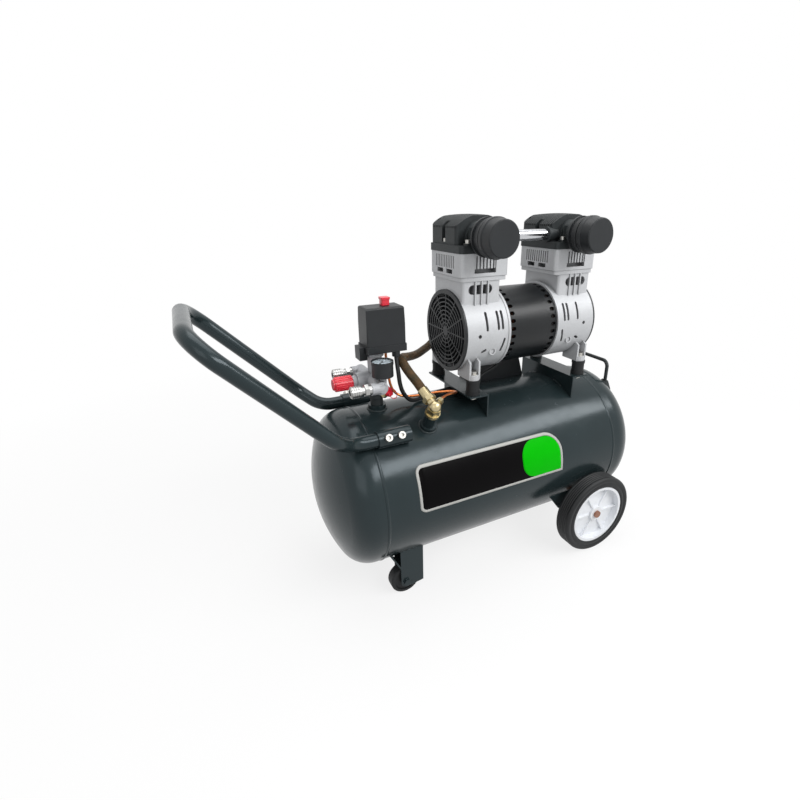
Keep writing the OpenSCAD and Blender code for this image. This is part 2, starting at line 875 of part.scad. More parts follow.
// One bracket: a flat plate under two feet, with a web that stands on the tank
module pump_bracket(notch) {
  web_x = -plate_x + plate_w / 2 - sheet;
  color([0.08, 0.1, 0.11]) difference() {
    union() {
      translate([-plate_x - plate_w / 2, -plate_l / 2, plate_z - sheet]) cube([plate_w, plate_l, sheet]);
      translate([web_x, -plate_l / 2, tank_z + 0.8 * tank_r])
        cube([sheet, plate_l, plate_z - tank_z - 0.8 * tank_r]);
    }
    translate([-pump_x, 0, 0]) tank_barrel();
    both_sides() translate([-foot_x, -foot_y, plate_z - sheet - 1])
      cylinder(h = sheet + 2, r = mount_stud_d / 2 + bolt_gap);
    if (notch)
      translate([web_x - 1, 10, tank_top - 2]) rotate([90, 0, 90]) linear_extrude(sheet + 2)
        translate([0, 8]) slot_2d(3 * lead_d, 2 * lead_d);
  }
}

module pump_bracket_front() {
  placed() translate([pump_x, 0, 0]) pump_bracket(true);
}

module pump_bracket_rear() {
  placed() translate([pump_x, 0, 0]) mirror([1, 0, 0]) pump_bracket(false);
}

module foot_places() {
  both_ends() both_sides() translate([-foot_x, -foot_y, 0]) children();
}

module rubber_mounts() {
  color([0.1, 0.09, 0.09]) placed() translate([pump_x, 0, plate_z]) foot_places() difference() {
    union() {
      cylinder(h = rubber_h, d = rubber_d - 2);
      for (z = [0, rubber_h - 6]) translate([0, 0, z]) cylinder(h = 6, d = rubber_d);
    }
    translate([0, 0, -1]) cylinder(h = rubber_h + 2, d = mount_stud_d);
  }
}

boss_h = 10;
boss_d = 24;

module mount_screws() {
  nut_h = 6;
  placed() translate([pump_x, 0, plate_z]) foot_places() {
    translate([0, 0, -sheet - nut_h - 2])
      cylinder(h = sheet + nut_h + 2 + rubber_h + boss_h + 4, d = mount_stud_d);
    translate([0, 0, -sheet - nut_h]) hex_rod(nut_h, 13);
    translate([0, 0, rubber_h + boss_h]) cylinder(h = 1.5, d = 16);
    translate([0, 0, rubber_h + boss_h + 1.5]) hex_rod(5, 12);
  }
}

module frame_bolts() {
  color("silver") {
    handle_bolts();
    mount_screws();
  }
}

// Capacitor box on the tank under the motor's far side: the end towards the wheels leans back
module capacitor_box() {
  box_x = [0, 148];
  box_y = 40;
  box_w = 35;
  box_h = 42;
  lean = 13;
  color([0.05, 0.05, 0.05]) placed() difference() {
    translate([0, box_y + box_w, tank_top]) rotate([90, 0, 0]) linear_extrude(box_w) polygon([
      [box_x[0], -box_h], [box_x[1] + lean, -box_h], [box_x[1] - lean, box_h], [box_x[0], box_h]
    ]);
    tank_barrel();
  }
}

// ---------------------------------------------------------------- pump

// Side openings of a crankcase, cut right across it
module case_slots() {
  slot_h = 34;
  translate([-motor_l / 2, 0, 0]) {
    for (x = [18, 27.5, 52.5]) translate([-x, 0, 27]) slot_cut(slot_h, 5);
    translate([-16, 0, -20]) rotate([0, 12, 0]) slot_cut(slot_h - 6, 4.5);
    translate([-57, 0, -28]) rotate([0, 60, 0]) slot_cut(12, 5);
    translate([-69, 0, 2]) rod_y(-case_d, case_d, 7);
  }
}

module slot_cut(l, w) {
  rotate([90, 0, 0]) linear_extrude(2 * case_d, center = true) rotate(90) slot_2d(l, w);
}

// Crankcase ahead of the motor, from the shaft's axis; the other one is its mirror image
module crankcase() {
  x0 = -case_x1;
  x1 = -motor_l / 2;
  inner_d = case_d - 2 * case_wall;
  color([0.75, 0.77, 0.78]) difference() {
    union() {
      rod_x(x0, x1, case_d);
      rod_x(x1 - 5, x1, case_d + 2);
      translate([-head_x + neck_x, 0, 0.3 * case_d]) linear_extrude(block_z - 0.3 * case_d)
        round_rect(neck_w, neck_l, 6);
      neck_ribs(-neck_l / 2 - 2.5, neck_l + 5, 42);
      both_sides() crankcase_foot();
      both_sides() translate([x1 - 37, 0, -31]) rod_y(-0.94 * case_d / 2, 0, 15);
    }
    both_sides() translate([x1 - 37, 0, -31]) rod_y(-case_d, -0.94 * case_d / 2 + 2, 10);
    rod_x(x0 - 2 * grille_h, x0, case_d + 2 * free_gap);
    rod_x(x0 - 1, x1 - bulkhead, inner_d);
    rod_x(x0, x1 + 1, bearing_d);
    translate([-head_x, 0, 0]) cylinder(h = block_z + 1, d = bore_d + 2);
    case_slots();
    neck_window();
    both_sides() translate([-foot_x, -foot_y, -foot_drop - 1])
      cylinder(h = boss_h + 2, r = mount_stud_d / 2 + bolt_gap);
  }
}

neck_x = -4;
neck_w = 82;
neck_l = block_y - 7;
rib_pitch = 13.6;

// Upright ribs on the neck's two sides
module neck_ribs(y, l, z) {
  for (k = [-1, 0, 1]) translate([-head_x + neck_x - 1 + k * rib_pitch - 1.5, y, z])
    cube([3, l, block_z - z]);
}

// Rounded windows in the neck's two sides, crossed by its upright ribs
module neck_window() {
  depth = 14;
  both_sides() difference() {
    translate([-head_x + neck_x - 3, -neck_l / 2 + depth, block_z - 15]) rotate([90, 0, 0])
      linear_extrude(depth + 1) slot_2d(51, 17);
    neck_ribs(-neck_l / 2 - 4, depth + 5, 40);
  }
}

module crankcase_foot() {
  wall = 4;
  translate([-foot_x, -foot_y, -foot_drop]) {
    cylinder(h = boss_h, d = boss_d);
    difference() {
      union() {
        for (s = [-1, 1]) translate([s * (boss_d / 2 - wall / 2) - wall / 2, -6, 0])
          cube([wall, 44, 52]);
        translate([-boss_d / 2, 14, 0]) cube([boss_d, 20, 52]);
      }
      translate([0, -30, boss_h + 46]) rotate([30, 0, 0])
        cube([2 * boss_d, 3 * boss_d, 60], center = true);
    }
  }
}

module crankcase_front() {
  at_pump() crankcase();
}

module crankcase_rear() {
  at_pump() mirror([1, 0, 0]) crankcase();
}

module fan_grilles() {
  bar = 2.5;
  bar_h = 2.8;
  rings = 9;
  pitch = (case_d / 2 - 8) / rings;
  hub_r = 9;
  color([0.06, 0.06, 0.07]) at_pump() both_ends() translate([-case_x1 - grille_h, 0, 0]) {
    ring_x(0, grille_h, case_d, case_d - 7);
    ring_x(0, bar_h, case_d, case_d - 16);
    rotate([0, 90, 0]) linear_extrude(bar_h) {
      circle(hub_r);
      for (k = [1 : rings - 1]) ring_2d(2 * (k * pitch + bar / 2), 2 * (k * pitch - bar / 2));
      for (k = [0 : 11]) rotate(30 * k) translate([0, -bar / 2]) square([case_d / 2 - 6, bar]);
    }
  }
}

module motor_shell() {
  vents = 32;
  vent = [11, 7.5];
  color([0.07, 0.07, 0.08]) at_pump() {
    difference() {
      union() {
        rod_x(-motor_l / 2, motor_l / 2, motor_d);
        translate([lead_hole_x - pump_x, 0, -motor_d / 2 - 7]) cylinder(h = 14, d = lead_d + 8);
      }
      rod_x(-motor_l / 2 - 1, motor_l / 2 + 1, stator_d);
      for (s = [-1, 1], k = [0 : vents - 1]) rotate([360 / vents * (k + 0.5), 0, 0])
        translate([s * (motor_l / 2 - vent[0] / 2 - 3.5), 0, motor_d / 2 - 10])
          linear_extrude(12) slot_2d(vent[0], vent[1]);
      translate([lead_hole_x - pump_x, 0, -motor_d / 2 - 8]) cylinder(h = 20, d = lead_d);
    }
  }
}

module stator() {
  color([0.45, 0.3, 0.2]) at_pump() {
    ring_x(-core_l / 2, core_l / 2, stator_d, core_d + 2);
    both_ends() ring_x(-motor_l / 2 + 3, -core_l / 2, stator_d - 18, core_d + 8);
    both_ends() ring_x(-motor_l / 2 - bulkhead, -motor_l / 2 - 0.5, bearing_d, shaft_d + 2 * run_gap);
  }
}

module rotor() {
  shaft_end = case_x1 - fan_in + 0.5;
  cam_l = 14;
  color([0.6, 0.61, 0.63]) at_pump() {
    rod_x(-shaft_end, shaft_end, shaft_d);
    rod_x(-core_l / 2, core_l / 2, core_d);
    both_ends() translate([-head_x, 0, -throw]) rod_x(-cam_l / 2, cam_l / 2, cam_d);
  }
}

module fans() {
  fan_l = 16;
  fan_x0 = -case_x1 + fan_in;
  hub = 36;
  color([0.12, 0.12, 0.13]) at_pump() both_ends() difference() {
    union() {
      rod_x(fan_x0, fan_x0 + fan_l, hub);
      ring_x(fan_x0 + fan_l - 3, fan_x0 + fan_l, fan_d, hub - 4);
      for (k = [0 : 9]) rotate([36 * k, 0, 0]) translate([fan_x0, -1.25, hub / 2 - 2])
        cube([fan_l - 2, 2.5, fan_d / 2 - hub / 2 + 1]);
    }
    rod_x(fan_x0 - 1, fan_x0 + fan_l + 1, shaft_d);
  }
}

// Wobble piston at the bottom of its stroke; its rod stops short of the crank's sweep
module piston() {
  crown_z = block_z + block_h - 2 * throw - 4;
  sweep = throw + cam_d / 2 + 2;
  color([0.8, 0.8, 0.78]) {
    translate([0, 0, crown_z - 9]) cylinder(h = 9, d = bore_d - 4 * run_gap);
    translate([0, 0, (crown_z + sweep) / 2]) cube([12, 18, crown_z - sweep - 10], center = true);
    translate([0, 0, crown_z - 12]) cylinder(h = 5, d = 30);
  }
}

module piston_front() {
  at_pump() translate([-head_x, 0, 0]) piston();
}

module piston_rear() {
  at_pump() translate([head_x, 0, 0]) piston();
}

// Cylinder block: plates top and bottom, fins all round, windows low in its sides
module cylinder_block() {
  fin = 3;
  pitch = 6.5;
  groove_top = block_h - 5;
  recess_w = 46;
  difference() {
    linear_extrude(block_h) round_rect(block_x, block_y, 9);
    translate([0, 0, -1]) cylinder(h = block_h + 2, d = bore_d);
    for (b = cover_bolts()) translate([b[0], b[1], block_h - bolt_reach - 1])
      cylinder(h = bolt_reach + 2, r = cover_bolt_d / 2 + bolt_gap);
    difference() {
      translate([0, 0, -1]) cube([2 * block_x, 2 * block_y, 18], center = true);
      translate([0, 0, -11]) linear_extrude(22) round_rect(block_x - 5, block_y - 3, 8);
    }
    both_ends() for (k = [-5 : 5]) translate([-block_x / 2 - 1, k * pitch - 1.25, 22])
      cube([fin, 2.5, groove_top - 22]);
    both_ends() for (y = [-17, 17]) translate([-block_x / 2 - 1, y - 11, 12]) cube([13, 22, 7.5]);
    both_sides() translate([-recess_w / 2, -block_y / 2 - 1, 14]) {
      cube([recess_w, 3, block_h - 14]);
      cube([recess_w, 15, 7.5]);
      for (k = [0 : 5]) translate([4 + k * 7.2, 0, 0]) cube([3, 6, groove_top - 14]);
    }
  }
}

module head_places() {
  at_pump() for (s = [-1, 1]) translate([s * head_x, 0, 0]) children();
}

module cylinder_blocks() {
  color([0.74, 0.76, 0.78]) head_places() translate([0, 0, block_z]) cylinder_block();
}

// Bolts that hold a cover: one in each end face, two in each side face
function cover_bolts() = [
  [-block_x / 2 + 7, 8], [block_x / 2 - 7, 8],
  [-block_x / 2 + 17, -block_y / 2 + 6], [block_x / 2 - 17, -block_y / 2 + 6],
  [-block_x / 2 + 17, block_y / 2 - 6], [block_x / 2 - 17, block_y / 2 - 6]
];
cover_bolt_d = 6;
bolt_seat = flange_h + 4;
bolt_reach = 12;

// Head cover from its sole: flange, arched body, fins and bolt pockets; the front one has
// the outlet to the hose
module head_cover(ports) {
  body_x = block_x - 4;
  near_y = -block_y / 2 + cover_ledge;
  far_y = block_y / 2 - 1.5;
  crown_r = 420;
  fin_pitch = 6.2;
  fin_depth = 9;
  pocket = 12;
  roof_z = cover_end_h + 6;
  difference() {
    union() {
      linear_extrude(flange_h) round_rect(block_x + 2, block_y + 2, 8);
      intersection() {
        translate([0, (near_y + far_y) / 2, 0]) linear_extrude(cover_h) round_rect(body_x, far_y - near_y, 7);
        translate([0, far_y, 0]) rotate([90, 0, 0]) linear_extrude(far_y - near_y) cover_2d(body_x, 0);
        translate([0, 0, cover_h - crown_r]) rod_x(-body_x, body_x, 2 * crown_r);
      }
      for (b = cover_bolts()) if (b[1] < near_y) translate([b[0], b[1], 0])
        linear_extrude(bolt_seat) round_rect(pocket + 2, pocket + 0.6, 4);
      translate([filter_x, 0, 27]) rod_y(-block_y / 2 - 10, 0, filter_d - 17);
      if (ports) translate([-filter_x, 0, 27]) rod_y(0, block_y / 2 + 8, 24);
      translate([0, transfer_y, 26]) rod_x(ports ? 0 : -body_x / 2 - 6, ports ? body_x / 2 + 6 : 0, transfer_d + 8);
    }
    for (y = [near_y + 6.4 : fin_pitch : far_y - 4]) translate([0, y, 0]) rotate([90, 0, 0])
      linear_extrude(2.4) difference() {
        translate([-block_x, cover_end_h - 3]) square([2 * block_x, cover_h]);
        cover_2d(4 * body_x, fin_depth);
      }
    for (b = cover_bolts()) translate([b[0], b[1], 0]) {
      translate([0, 0, bolt_seat]) linear_extrude(abs(b[1]) > pocket ? roof_z - bolt_seat : cover_h)
        round_rect(pocket, pocket, 2);
      translate([0, 0, -1]) cylinder(h = cover_h, r = cover_bolt_d / 2 + bolt_gap);
    }
    translate([0, (near_y + 42) / 2, -1]) linear_extrude(21) round_rect(72, 32 - near_y, 6);
    translate([filter_x, -block_y / 2 + 10, -1]) linear_extrude(21) round_rect(34, 9, 3);
    translate([0, transfer_y, 26]) rod_x(ports ? 20 : -block_x, ports ? block_x : -20, transfer_d);
    translate([filter_x, 0, 27]) rod_y(-block_y, -block_y / 2 + 14, filter_d - 34);
    if (ports) translate([-filter_x, 0, 27]) rod_y(block_y / 2 - 24, block_y, 13);
  }
}

// Side view of the cover: upright ends under one arc
module cover_2d(w, inset) {
  intersection() {
    translate([-w / 2, 0]) square([w, cover_h + 1]);
    translate([0, cover_h - arch_r]) circle(arch_r - inset);
  }
}

module head_covers() {
  color([0.09, 0.1, 0.1]) at_pump() for (s = [-1, 1])
    translate([s * head_x, 0, block_z + block_h]) head_cover(s < 0);
}

module head_bolts() {
  color("silver") head_places() translate([0, 0, block_z + block_h]) for (b = cover_bolts())
    translate([b[0], b[1], 0]) {
      translate([0, 0, -bolt_reach]) cylinder(h = bolt_reach + bolt_seat + 0.5, d = cover_bolt_d);
      translate([0, 0, bolt_seat]) cylinder(h = 6, d = 9.5);
    }
}

module transfer_tube() {
  half = head_x - 22;
  color([0.9, 0.9, 0.92]) at_pump() translate([0, transfer_y, transfer_z - shaft_z]) difference() {
    rod_x(-half, half, transfer_d);
    rod_x(-half - 1, half + 1, transfer_d - 4);
  }
}

module filter_places() {
  head_places() translate([filter_x, -block_y / 2 - 10, filter_z - shaft_z]) rotate([90, 0, 0])
    children();
}

filter_l = filter_y - block_y / 2 - 10;
filter_split = 0.45 * filter_l;

module filter_housings() {
  color([0.1, 0.11, 0.11]) filter_places() rotate_extrude() {
    square([filter_d / 2 - 4, filter_split]);
    for (z = [2, filter_split - 5]) translate([0, z]) square([filter_d / 2 - 1, 4]);
  }
}

// Cap of a filter: a short rim, a side that narrows to the flat face, and a small chamfer
module filter_caps() {
  l = filter_l - filter_split;
  r = filter_d / 2;
  face_r = filter_face_d / 2;
  color([0.13, 0.14, 0.15]) filter_places() translate([0, 0, filter_split]) rotate_extrude()
    polygon([
      [0, 0], [r - 3, 0], [r - 3, 2], [r, 2], [r, 9],
      [r - 1.5, 10], [face_r + 1.5, l - 1.5], [face_r, l], [0, l]
    ]);
}

// ---------------------------------------------------------------- controls

module standpipe() {
  color([0.07, 0.08, 0.08]) at_stand() difference() {
    union() {
      translate([0, 0, tank_top]) cylinder(h = cross_z - tank_top - 18, d = stand_d);
      translate([0, 0, tank_top + 22]) cylinder(h = 8, d = stand_d + 3);
    }
    translate([0, 0, tank_top - 1]) cylinder(h = manifold_rise, d = stand_d - 8);
    relief_place() {
      cylinder(h = 20, d = 9);
      translate([0, 0, 17 - seat_gap]) cylinder(h = 10, d = 15.6);
    }
  }
}

module relief_place() {
  translate([0, 0, tank_top + relief_z]) rotate(relief_turn) children();
}

manifold_foot = cross_z - 18;

// Cast manifold: a column from the standpipe to the switch and a cross tube with three outlets
module manifold() {
  color([0.66, 0.68, 0.7]) at_stand() difference() {
    union() {
      translate([0, 0, manifold_foot]) cylinder(h = switch_z - manifold_foot, d = column_d);
      translate([0, 0, manifold_foot]) cylinder(h = 8, d = column_d + 3);
      translate([0, 0, switch_z - 8]) cylinder(h = 8, d = column_d + 7);
      translate([cross_x, 0, cross_z]) {
        rod_y(-outlet_y - 5, outlet_y + 5, manifold_d);
        rod_y(-outlet_y - 10, outlet_y + 10, manifold_d - 9);
        both_sides() translate([0, -outlet_y, 0]) rod_x(port_x0 - cross_x, 3, port_d);
      }
      translate([0, 0, cross_z]) {
        rod_x(-38, 0, reg_d + 4);
        rod_x(-46, -38, reg_d - 4);
        rod_x(-46 - reg_l + 10, -46, 8);
      }
      translate([gauge_x, gauge_y, cross_z]) cylinder(h = gauge_z - cross_z, d = 13);
    }
    translate([0, 0, manifold_foot - 1]) cylinder(h = switch_rise, d = stand_d - 8);
    translate([cross_x, 0, cross_z]) both_sides() translate([0, -outlet_y, 0])
      rod_x(port_x0 - cross_x - 1, 0, 12);
  }
}

// Ribbed cup that turns on the regulator's spindle
module regulator_knob() {
  x1 = -46 - free_gap;
  x0 = -46 - reg_l;
  ribs = 20;
  color("crimson") at_stand() translate([0, 0, cross_z]) difference() {
    union() {
      rod_x(x0 + 3, x1, reg_d - 2);
      rod_x(x0, x1, reg_d - 7);
      for (k = [0 : ribs - 1]) rotate([360 / ribs * k, 0, 0])
        translate([x0 + 4, -1, reg_d / 2 - 3]) cube([reg_l - 6, 2, 3]);
    }
    rod_x(x0 + 8, x1 + 1, 8 + 2 * run_gap);
    ring_x(x1 - 12, x1 + 1, reg_d - 7, 14);
  }
}

coupler_x0 = port_x0 - 38;
coupler_d = 15;

module coupler_places() {
  at_stand() both_sides() translate([0, -outlet_y, cross_z]) children();
}

module coupler_bodies() {
  color([0.78, 0.78, 0.78]) coupler_places() difference() {
    union() {
      rod_x(coupler_x0, port_x0, coupler_d);
      rod_x(port_x0 - 6, port_x0, 19);
      translate([port_x0 - 12, 0, 0]) rotate([0, 90, 0]) hex_rod(7, 19);
      rod_x(port_x0 - 1, port_x0 + 8, 12);
    }
    rod_x(coupler_x0 - 1, coupler_x0 + 24, coupler_bore);
    rod_x(coupler_x0, port_x0 + 9, 6);
  }
}

// Sleeve that is pulled back along the coupler to let the plug go
module coupler_sleeve() {
  x0 = coupler_x0 + 1;
  l = 38 - 12 - sleeve_travel - 3;
  color([0.82, 0.82, 0.8]) translate([0, 0, cross_z]) difference() {
    union() {
      rod_x(x0, x0 + l, 19.5);
      for (k = [0 : 3]) rod_x(x0 + 1 + 4 * k, x0 + 3 + 4 * k, 21.5);
    }
    rod_x(x0 - 1, x0 + l + 1, coupler_d + 2 * run_gap);
  }
}

module coupler_sleeve_left() {
  at_stand() translate([0, -outlet_y, 0]) coupler_sleeve();
}

module coupler_sleeve_right() {
  at_stand() translate([0, outlet_y, 0]) coupler_sleeve();
}

module at_gauge() {
  at_stand() translate([gauge_x, gauge_y, gauge_z]) children();
}

module gauge_case() {
  color([0.05, 0.05, 0.06]) at_gauge() difference() {
    union() {
      cylinder(h = gauge_h, d = gauge_d - 1.5);
      translate([0, 0, gauge_h - 6]) cylinder(h = 6, d = gauge_d);
    }
    translate([0, 0, 12]) cylinder(h = gauge_h, d = gauge_d - 5);
    translate([0, 0, gauge_h - 6]) cylinder(h = 7, d = gauge_d - 3);
  }
}

module gauge_dial() {
  color([0.85, 0.92, 0.97]) at_gauge() difference() {
    union() {
      translate([0, 0, 12]) cylinder(h = gauge_h - 18, d = gauge_d - 5);
      translate([0, 0, gauge_h - 6]) cylinder(h = 2, d = gauge_d - 3);
    }
    translate([0, 0, gauge_h - 12]) cylinder(h = 12, r = 1 + run_gap);
  }
}

module gauge_needle() {
  top = gauge_h - 4;
  color("black") at_gauge() {
    translate([0, 0, top - 5]) cylinder(h = 6.5, r = 1);
    translate([0, 0, top + 0.7]) cylinder(h = 1, r = 2.2);
    rotate(-135) translate([-1 + 0.5, -0.5, top + 0.7]) cube([gauge_d / 2 - 5, 1, 0.8]);
  }
}

module gauge_lens() {
  color([0.8, 0.9, 1, 0.4]) at_gauge() translate([0, 0, gauge_h - 1.8])
    cylinder(h = 1.4, d = gauge_d - 3);
}

module safety_valve() {
  color("goldenrod") at_stand() relief_place() difference() {
    union() {
      cylinder(h = 20, d = 9);
      translate([0, 0, 17]) hex_rod(6, 13);
      translate([0, 0, 23]) cylinder(h = 5, d = 11);
    }
    translate([0, 0, 16]) cylinder(h = 20, r = 2 + run_gap);
  }
}

// Stem, red cap and wire ring of the safety valve, pulled out together
module safety_ring() {
  cap_z = 28 + free_gap;
  ring_r = 10;
  color("red") at_stand() relief_place() {
    translate([0, 0, 17]) cylinder(h = cap_z - 17, r = 2);
    translate([0, 0, cap_z]) cylinder(h = 5, d = 21);
    translate([0, 0, cap_z + 4]) cylinder(h = 5, d = 5);
    translate([ring_r - 2, 0, cap_z + 7.5]) rotate([14, 0, 0]) rotate_extrude()
      translate([ring_r, 0]) circle(d = 1.4, $fn = 24);
  }
}

module check_valve() {
  color("darkkhaki") placed() at_valve() {
    difference() {
      union() {
        translate([0, 0, valve_boss_h]) cylinder(h = 6, d = 28);
        translate([0, 0, valve_boss_h + 6]) hex_rod(12, 23);
        translate([0, 0, valve_boss_h + 18]) cylinder(h = 6, d = 21);
        translate([0, 0, valve_mid]) rotate([-valve_turn, 0, 0]) {
          sphere(d = 23);
          rotate(inlet_turn) cylinder(h = 14, d = 17);
          rotate(branch_turn) {
            cylinder(h = branch_l, d = 9);
            translate([0, 0, branch_l - 11]) hex_rod(8, 12);
          }
        }
      }
      translate([0, 0, valve_mid]) rotate([-valve_turn, 0, 0])
        rotate(branch_turn) translate([0, 0, branch_l - 6]) cylinder(h = 7, d = unloader_d);
    }
  }
}

module hose_ends() {
  nut = 22;
  color([0.75, 0.68, 0.42]) placed() {
    at_valve() translate([0, 0, valve_mid]) rotate([-valve_turn, 0, 0]) rotate(inlet_turn) {
      translate([0, 0, 14]) hex_rod(8, nut);
      translate([0, 0, 22]) cylinder(h = 18, d = hose_d + 3);
    }
    translate([pump_x - head_x - filter_x, 0, filter_z]) {
      rod_y(block_y / 2 + 8, block_y / 2 + 14, nut);
      rod_y(block_y / 2 - 6, block_y / 2 + 22, 13);
      translate([0, block_y / 2 + 22, 0]) {
        sphere(d = 20);
        translate([0, 0, -14]) cylinder(h = 14, d = 15);
        translate([0, 0, -20]) hex_rod(8, nut - 2);
      }
    }
  }
}

module discharge_hose() {
  color([0.33, 0.26, 0.13]) placed() swept_tube(hose_route, hose_d, 2, 12);
}

module unloader_tube() {
  color([0.85, 0.42, 0.15]) placed() swept_tube(unloader_route, unloader_d, 2, 10);
}

// Base of the pressure switch, with the cable gland of the motor's lead and the mains inlet
module switch_base() {
  inlet_x = switch_x - switch_w / 2 - 10;
  column_clear = -column_d / 2 - 4.5;
  color([0.08, 0.08, 0.09]) at_stand() {
    translate([switch_x, 0, switch_z]) difference() {
      linear_extrude(lip_h) round_rect(switch_w, switch_dp, 4);
      translate([0, 0, 4]) linear_extrude(lip_h) round_rect(switch_w - 5, switch_dp - 5, 3);
    }
    difference() {
      union() {
        translate([gland_x, gland_y, switch_z - gland_h]) cylinder(h = gland_h, d = lead_d + 7);
        translate([nipple_x, nipple_y, switch_z - 8]) cylinder(h = 8, d = unloader_d + 4);
        translate([inlet_x, -13, switch_z - 12]) cube([column_clear - inlet_x, 26, 12]);
        translate([inlet_x, -13, switch_z - 12]) cube([9.5, 26, 24]);
      }
      translate([gland_x, gland_y, switch_z - gland_h - 1]) cylinder(h = gland_h + 2, d = lead_d);
      translate([nipple_x, nipple_y, switch_z - 9]) cylinder(h = 7, d = unloader_d);
      translate([(inlet_x + column_clear) / 2, 0, switch_z - 13]) cylinder(h = 9, d = 10);
    }
  }
}

module motor_lead() {
  color([0.05, 0.05, 0.05]) placed() swept_tube(lead_route, lead_d, 2, 10);
}

// Cover of the pressure switch: it narrows towards the top, with a round top edge
module switch_cover() {
  top = switch_h - lip_h;
  edge = 4;
  color([0.1, 0.1, 0.11]) at_stand() translate([switch_x, 0, switch_z + lip_h]) difference() {
    intersection() {
      translate([0, switch_dp / 2, 0]) rotate([90, 0, 0]) linear_extrude(switch_dp)
        cover_side(switch_w - 3, switch_w - 6, top, edge);
      translate([-switch_w / 2, 0, 0]) rotate([90, 0, 90]) linear_extrude(switch_w)
        cover_side(switch_dp - 2, switch_dp - 9, top, edge);
      linear_extrude(top) round_rect(switch_w - 3, switch_dp - 2, 5);
    }
    translate([0, 0, -1]) linear_extrude(top - 2) round_rect(switch_w - 12, switch_dp - 15, 3);
    translate([button_x - switch_x, 0, top - 4]) cylinder(h = 6, r = 5 + run_gap);
  }
}

module cover_side(foot_w, top_w, h, edge) {
  polygon([[-foot_w / 2, 0], [foot_w / 2, 0], [top_w / 2, h - edge], [-top_w / 2, h - edge]]);
  translate([-top_w / 2 + edge, h - edge - 1]) square([top_w - 2 * edge, edge + 1]);
  for (s = [-1, 1]) translate([s * (top_w / 2 - edge), h - edge]) circle(edge);
}

module switch_button() {
  head_h = 14;
  color("red") at_stand() translate([button_x, 0, switch_z + switch_h]) {
    translate([0, 0, free_gap]) linear_extrude(head_h - 4) round_rect(button_d - 2, button_d - 2, 3);
    translate([0, 0, free_gap + head_h - 4]) linear_extrude(4) round_rect(button_d, button_d, 3);
    translate([0, 0, -12]) cylinder(h = 13, r = 5);
  }
}

tank_shell();
tank_head_front();
tank_head_rear();
tank_ports();
badge_plate();
badge_leaf();
handle_sockets();
handle_tube();
frame_bolts();
rear_handle();
axle_brackets();
axle();
rim_left();
rim_right();
tyre_left();
tyre_right();
caster_forks();
caster_wheel_left();
caster_wheel_right();
drain_body();
drain_wing();
pump_bracket_front();
pump_bracket_rear();
rubber_mounts();
capacitor_box();
crankcase_front();
crankcase_rear();
fan_grilles();
motor_shell();
stator();
rotor();
fans();
piston_front();
piston_rear();
cylinder_blocks();
head_covers();
head_bolts();
transfer_tube();
filter_housings();
filter_caps();
standpipe();
manifold();
regulator_knob();
coupler_bodies();
coupler_sleeve_left();
coupler_sleeve_right();
gauge_case();
gauge_dial();
gauge_needle();
gauge_lens();
safety_valve();
safety_ring();
check_valve();
hose_ends();
discharge_hose();
unloader_tube();
motor_lead();
switch_base();
switch_cover();
switch_button();
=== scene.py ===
"""Gives the twin-head air compressor its finishes, hoses, tyres, name panel and gauge face."""

import math

import bmesh
import bpy
from mathutils import Matrix, Vector, noise


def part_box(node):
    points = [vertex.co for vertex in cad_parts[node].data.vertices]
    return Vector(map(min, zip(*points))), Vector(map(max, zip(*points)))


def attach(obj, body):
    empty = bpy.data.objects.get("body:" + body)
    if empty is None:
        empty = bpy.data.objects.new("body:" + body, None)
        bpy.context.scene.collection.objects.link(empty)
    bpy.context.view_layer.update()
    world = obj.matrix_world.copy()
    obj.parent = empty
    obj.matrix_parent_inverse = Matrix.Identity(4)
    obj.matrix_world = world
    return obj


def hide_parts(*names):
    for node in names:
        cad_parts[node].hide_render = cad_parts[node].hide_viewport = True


bl_info = {
    "name": "Air compressor dressing",
    "version": (1, 0, 0),
    "blender": (4, 5, 0),
    "location": "3D View > Sidebar > Compressor",
    "description": "Adds the finishes and fine pieces of a wheeled twin-head air compressor",
    "category": "Object",
}

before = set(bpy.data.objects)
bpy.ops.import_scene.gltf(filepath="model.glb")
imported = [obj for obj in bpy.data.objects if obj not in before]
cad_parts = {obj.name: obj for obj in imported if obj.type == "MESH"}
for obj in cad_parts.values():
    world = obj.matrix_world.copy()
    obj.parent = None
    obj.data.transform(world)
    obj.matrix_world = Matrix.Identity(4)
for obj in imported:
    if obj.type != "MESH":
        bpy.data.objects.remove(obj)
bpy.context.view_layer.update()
ROOT = "compressor"

# How far the motor, the standpipe and the check valve are from the tank's middle, in metres
MOTOR_AHEAD = 0.078
STAND_BACK = 0.227
VALVE_BACK = 0.158
# Angle of the check valve's axis from upright
VALVE_TILT = math.radians(30.4)

# Places in the frame, in metres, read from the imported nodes
MOTOR_LOW, MOTOR_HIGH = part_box("motor_shell")
TANK_X = (MOTOR_LOW.x + MOTOR_HIGH.x) / 2 - MOTOR_AHEAD
HEAD_LOW, HEAD_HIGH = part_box("tank_head_front")
TANK_R = (HEAD_HIGH.z - HEAD_LOW.z) / 2
TANK_Z = (HEAD_HIGH.z + HEAD_LOW.z) / 2

# The braid's strands each way, and the circumferences of a tube that its UV map counts as one
STRANDS = 16
UV_LENGTH = 8


# ------------------------------------------------------------------ settings


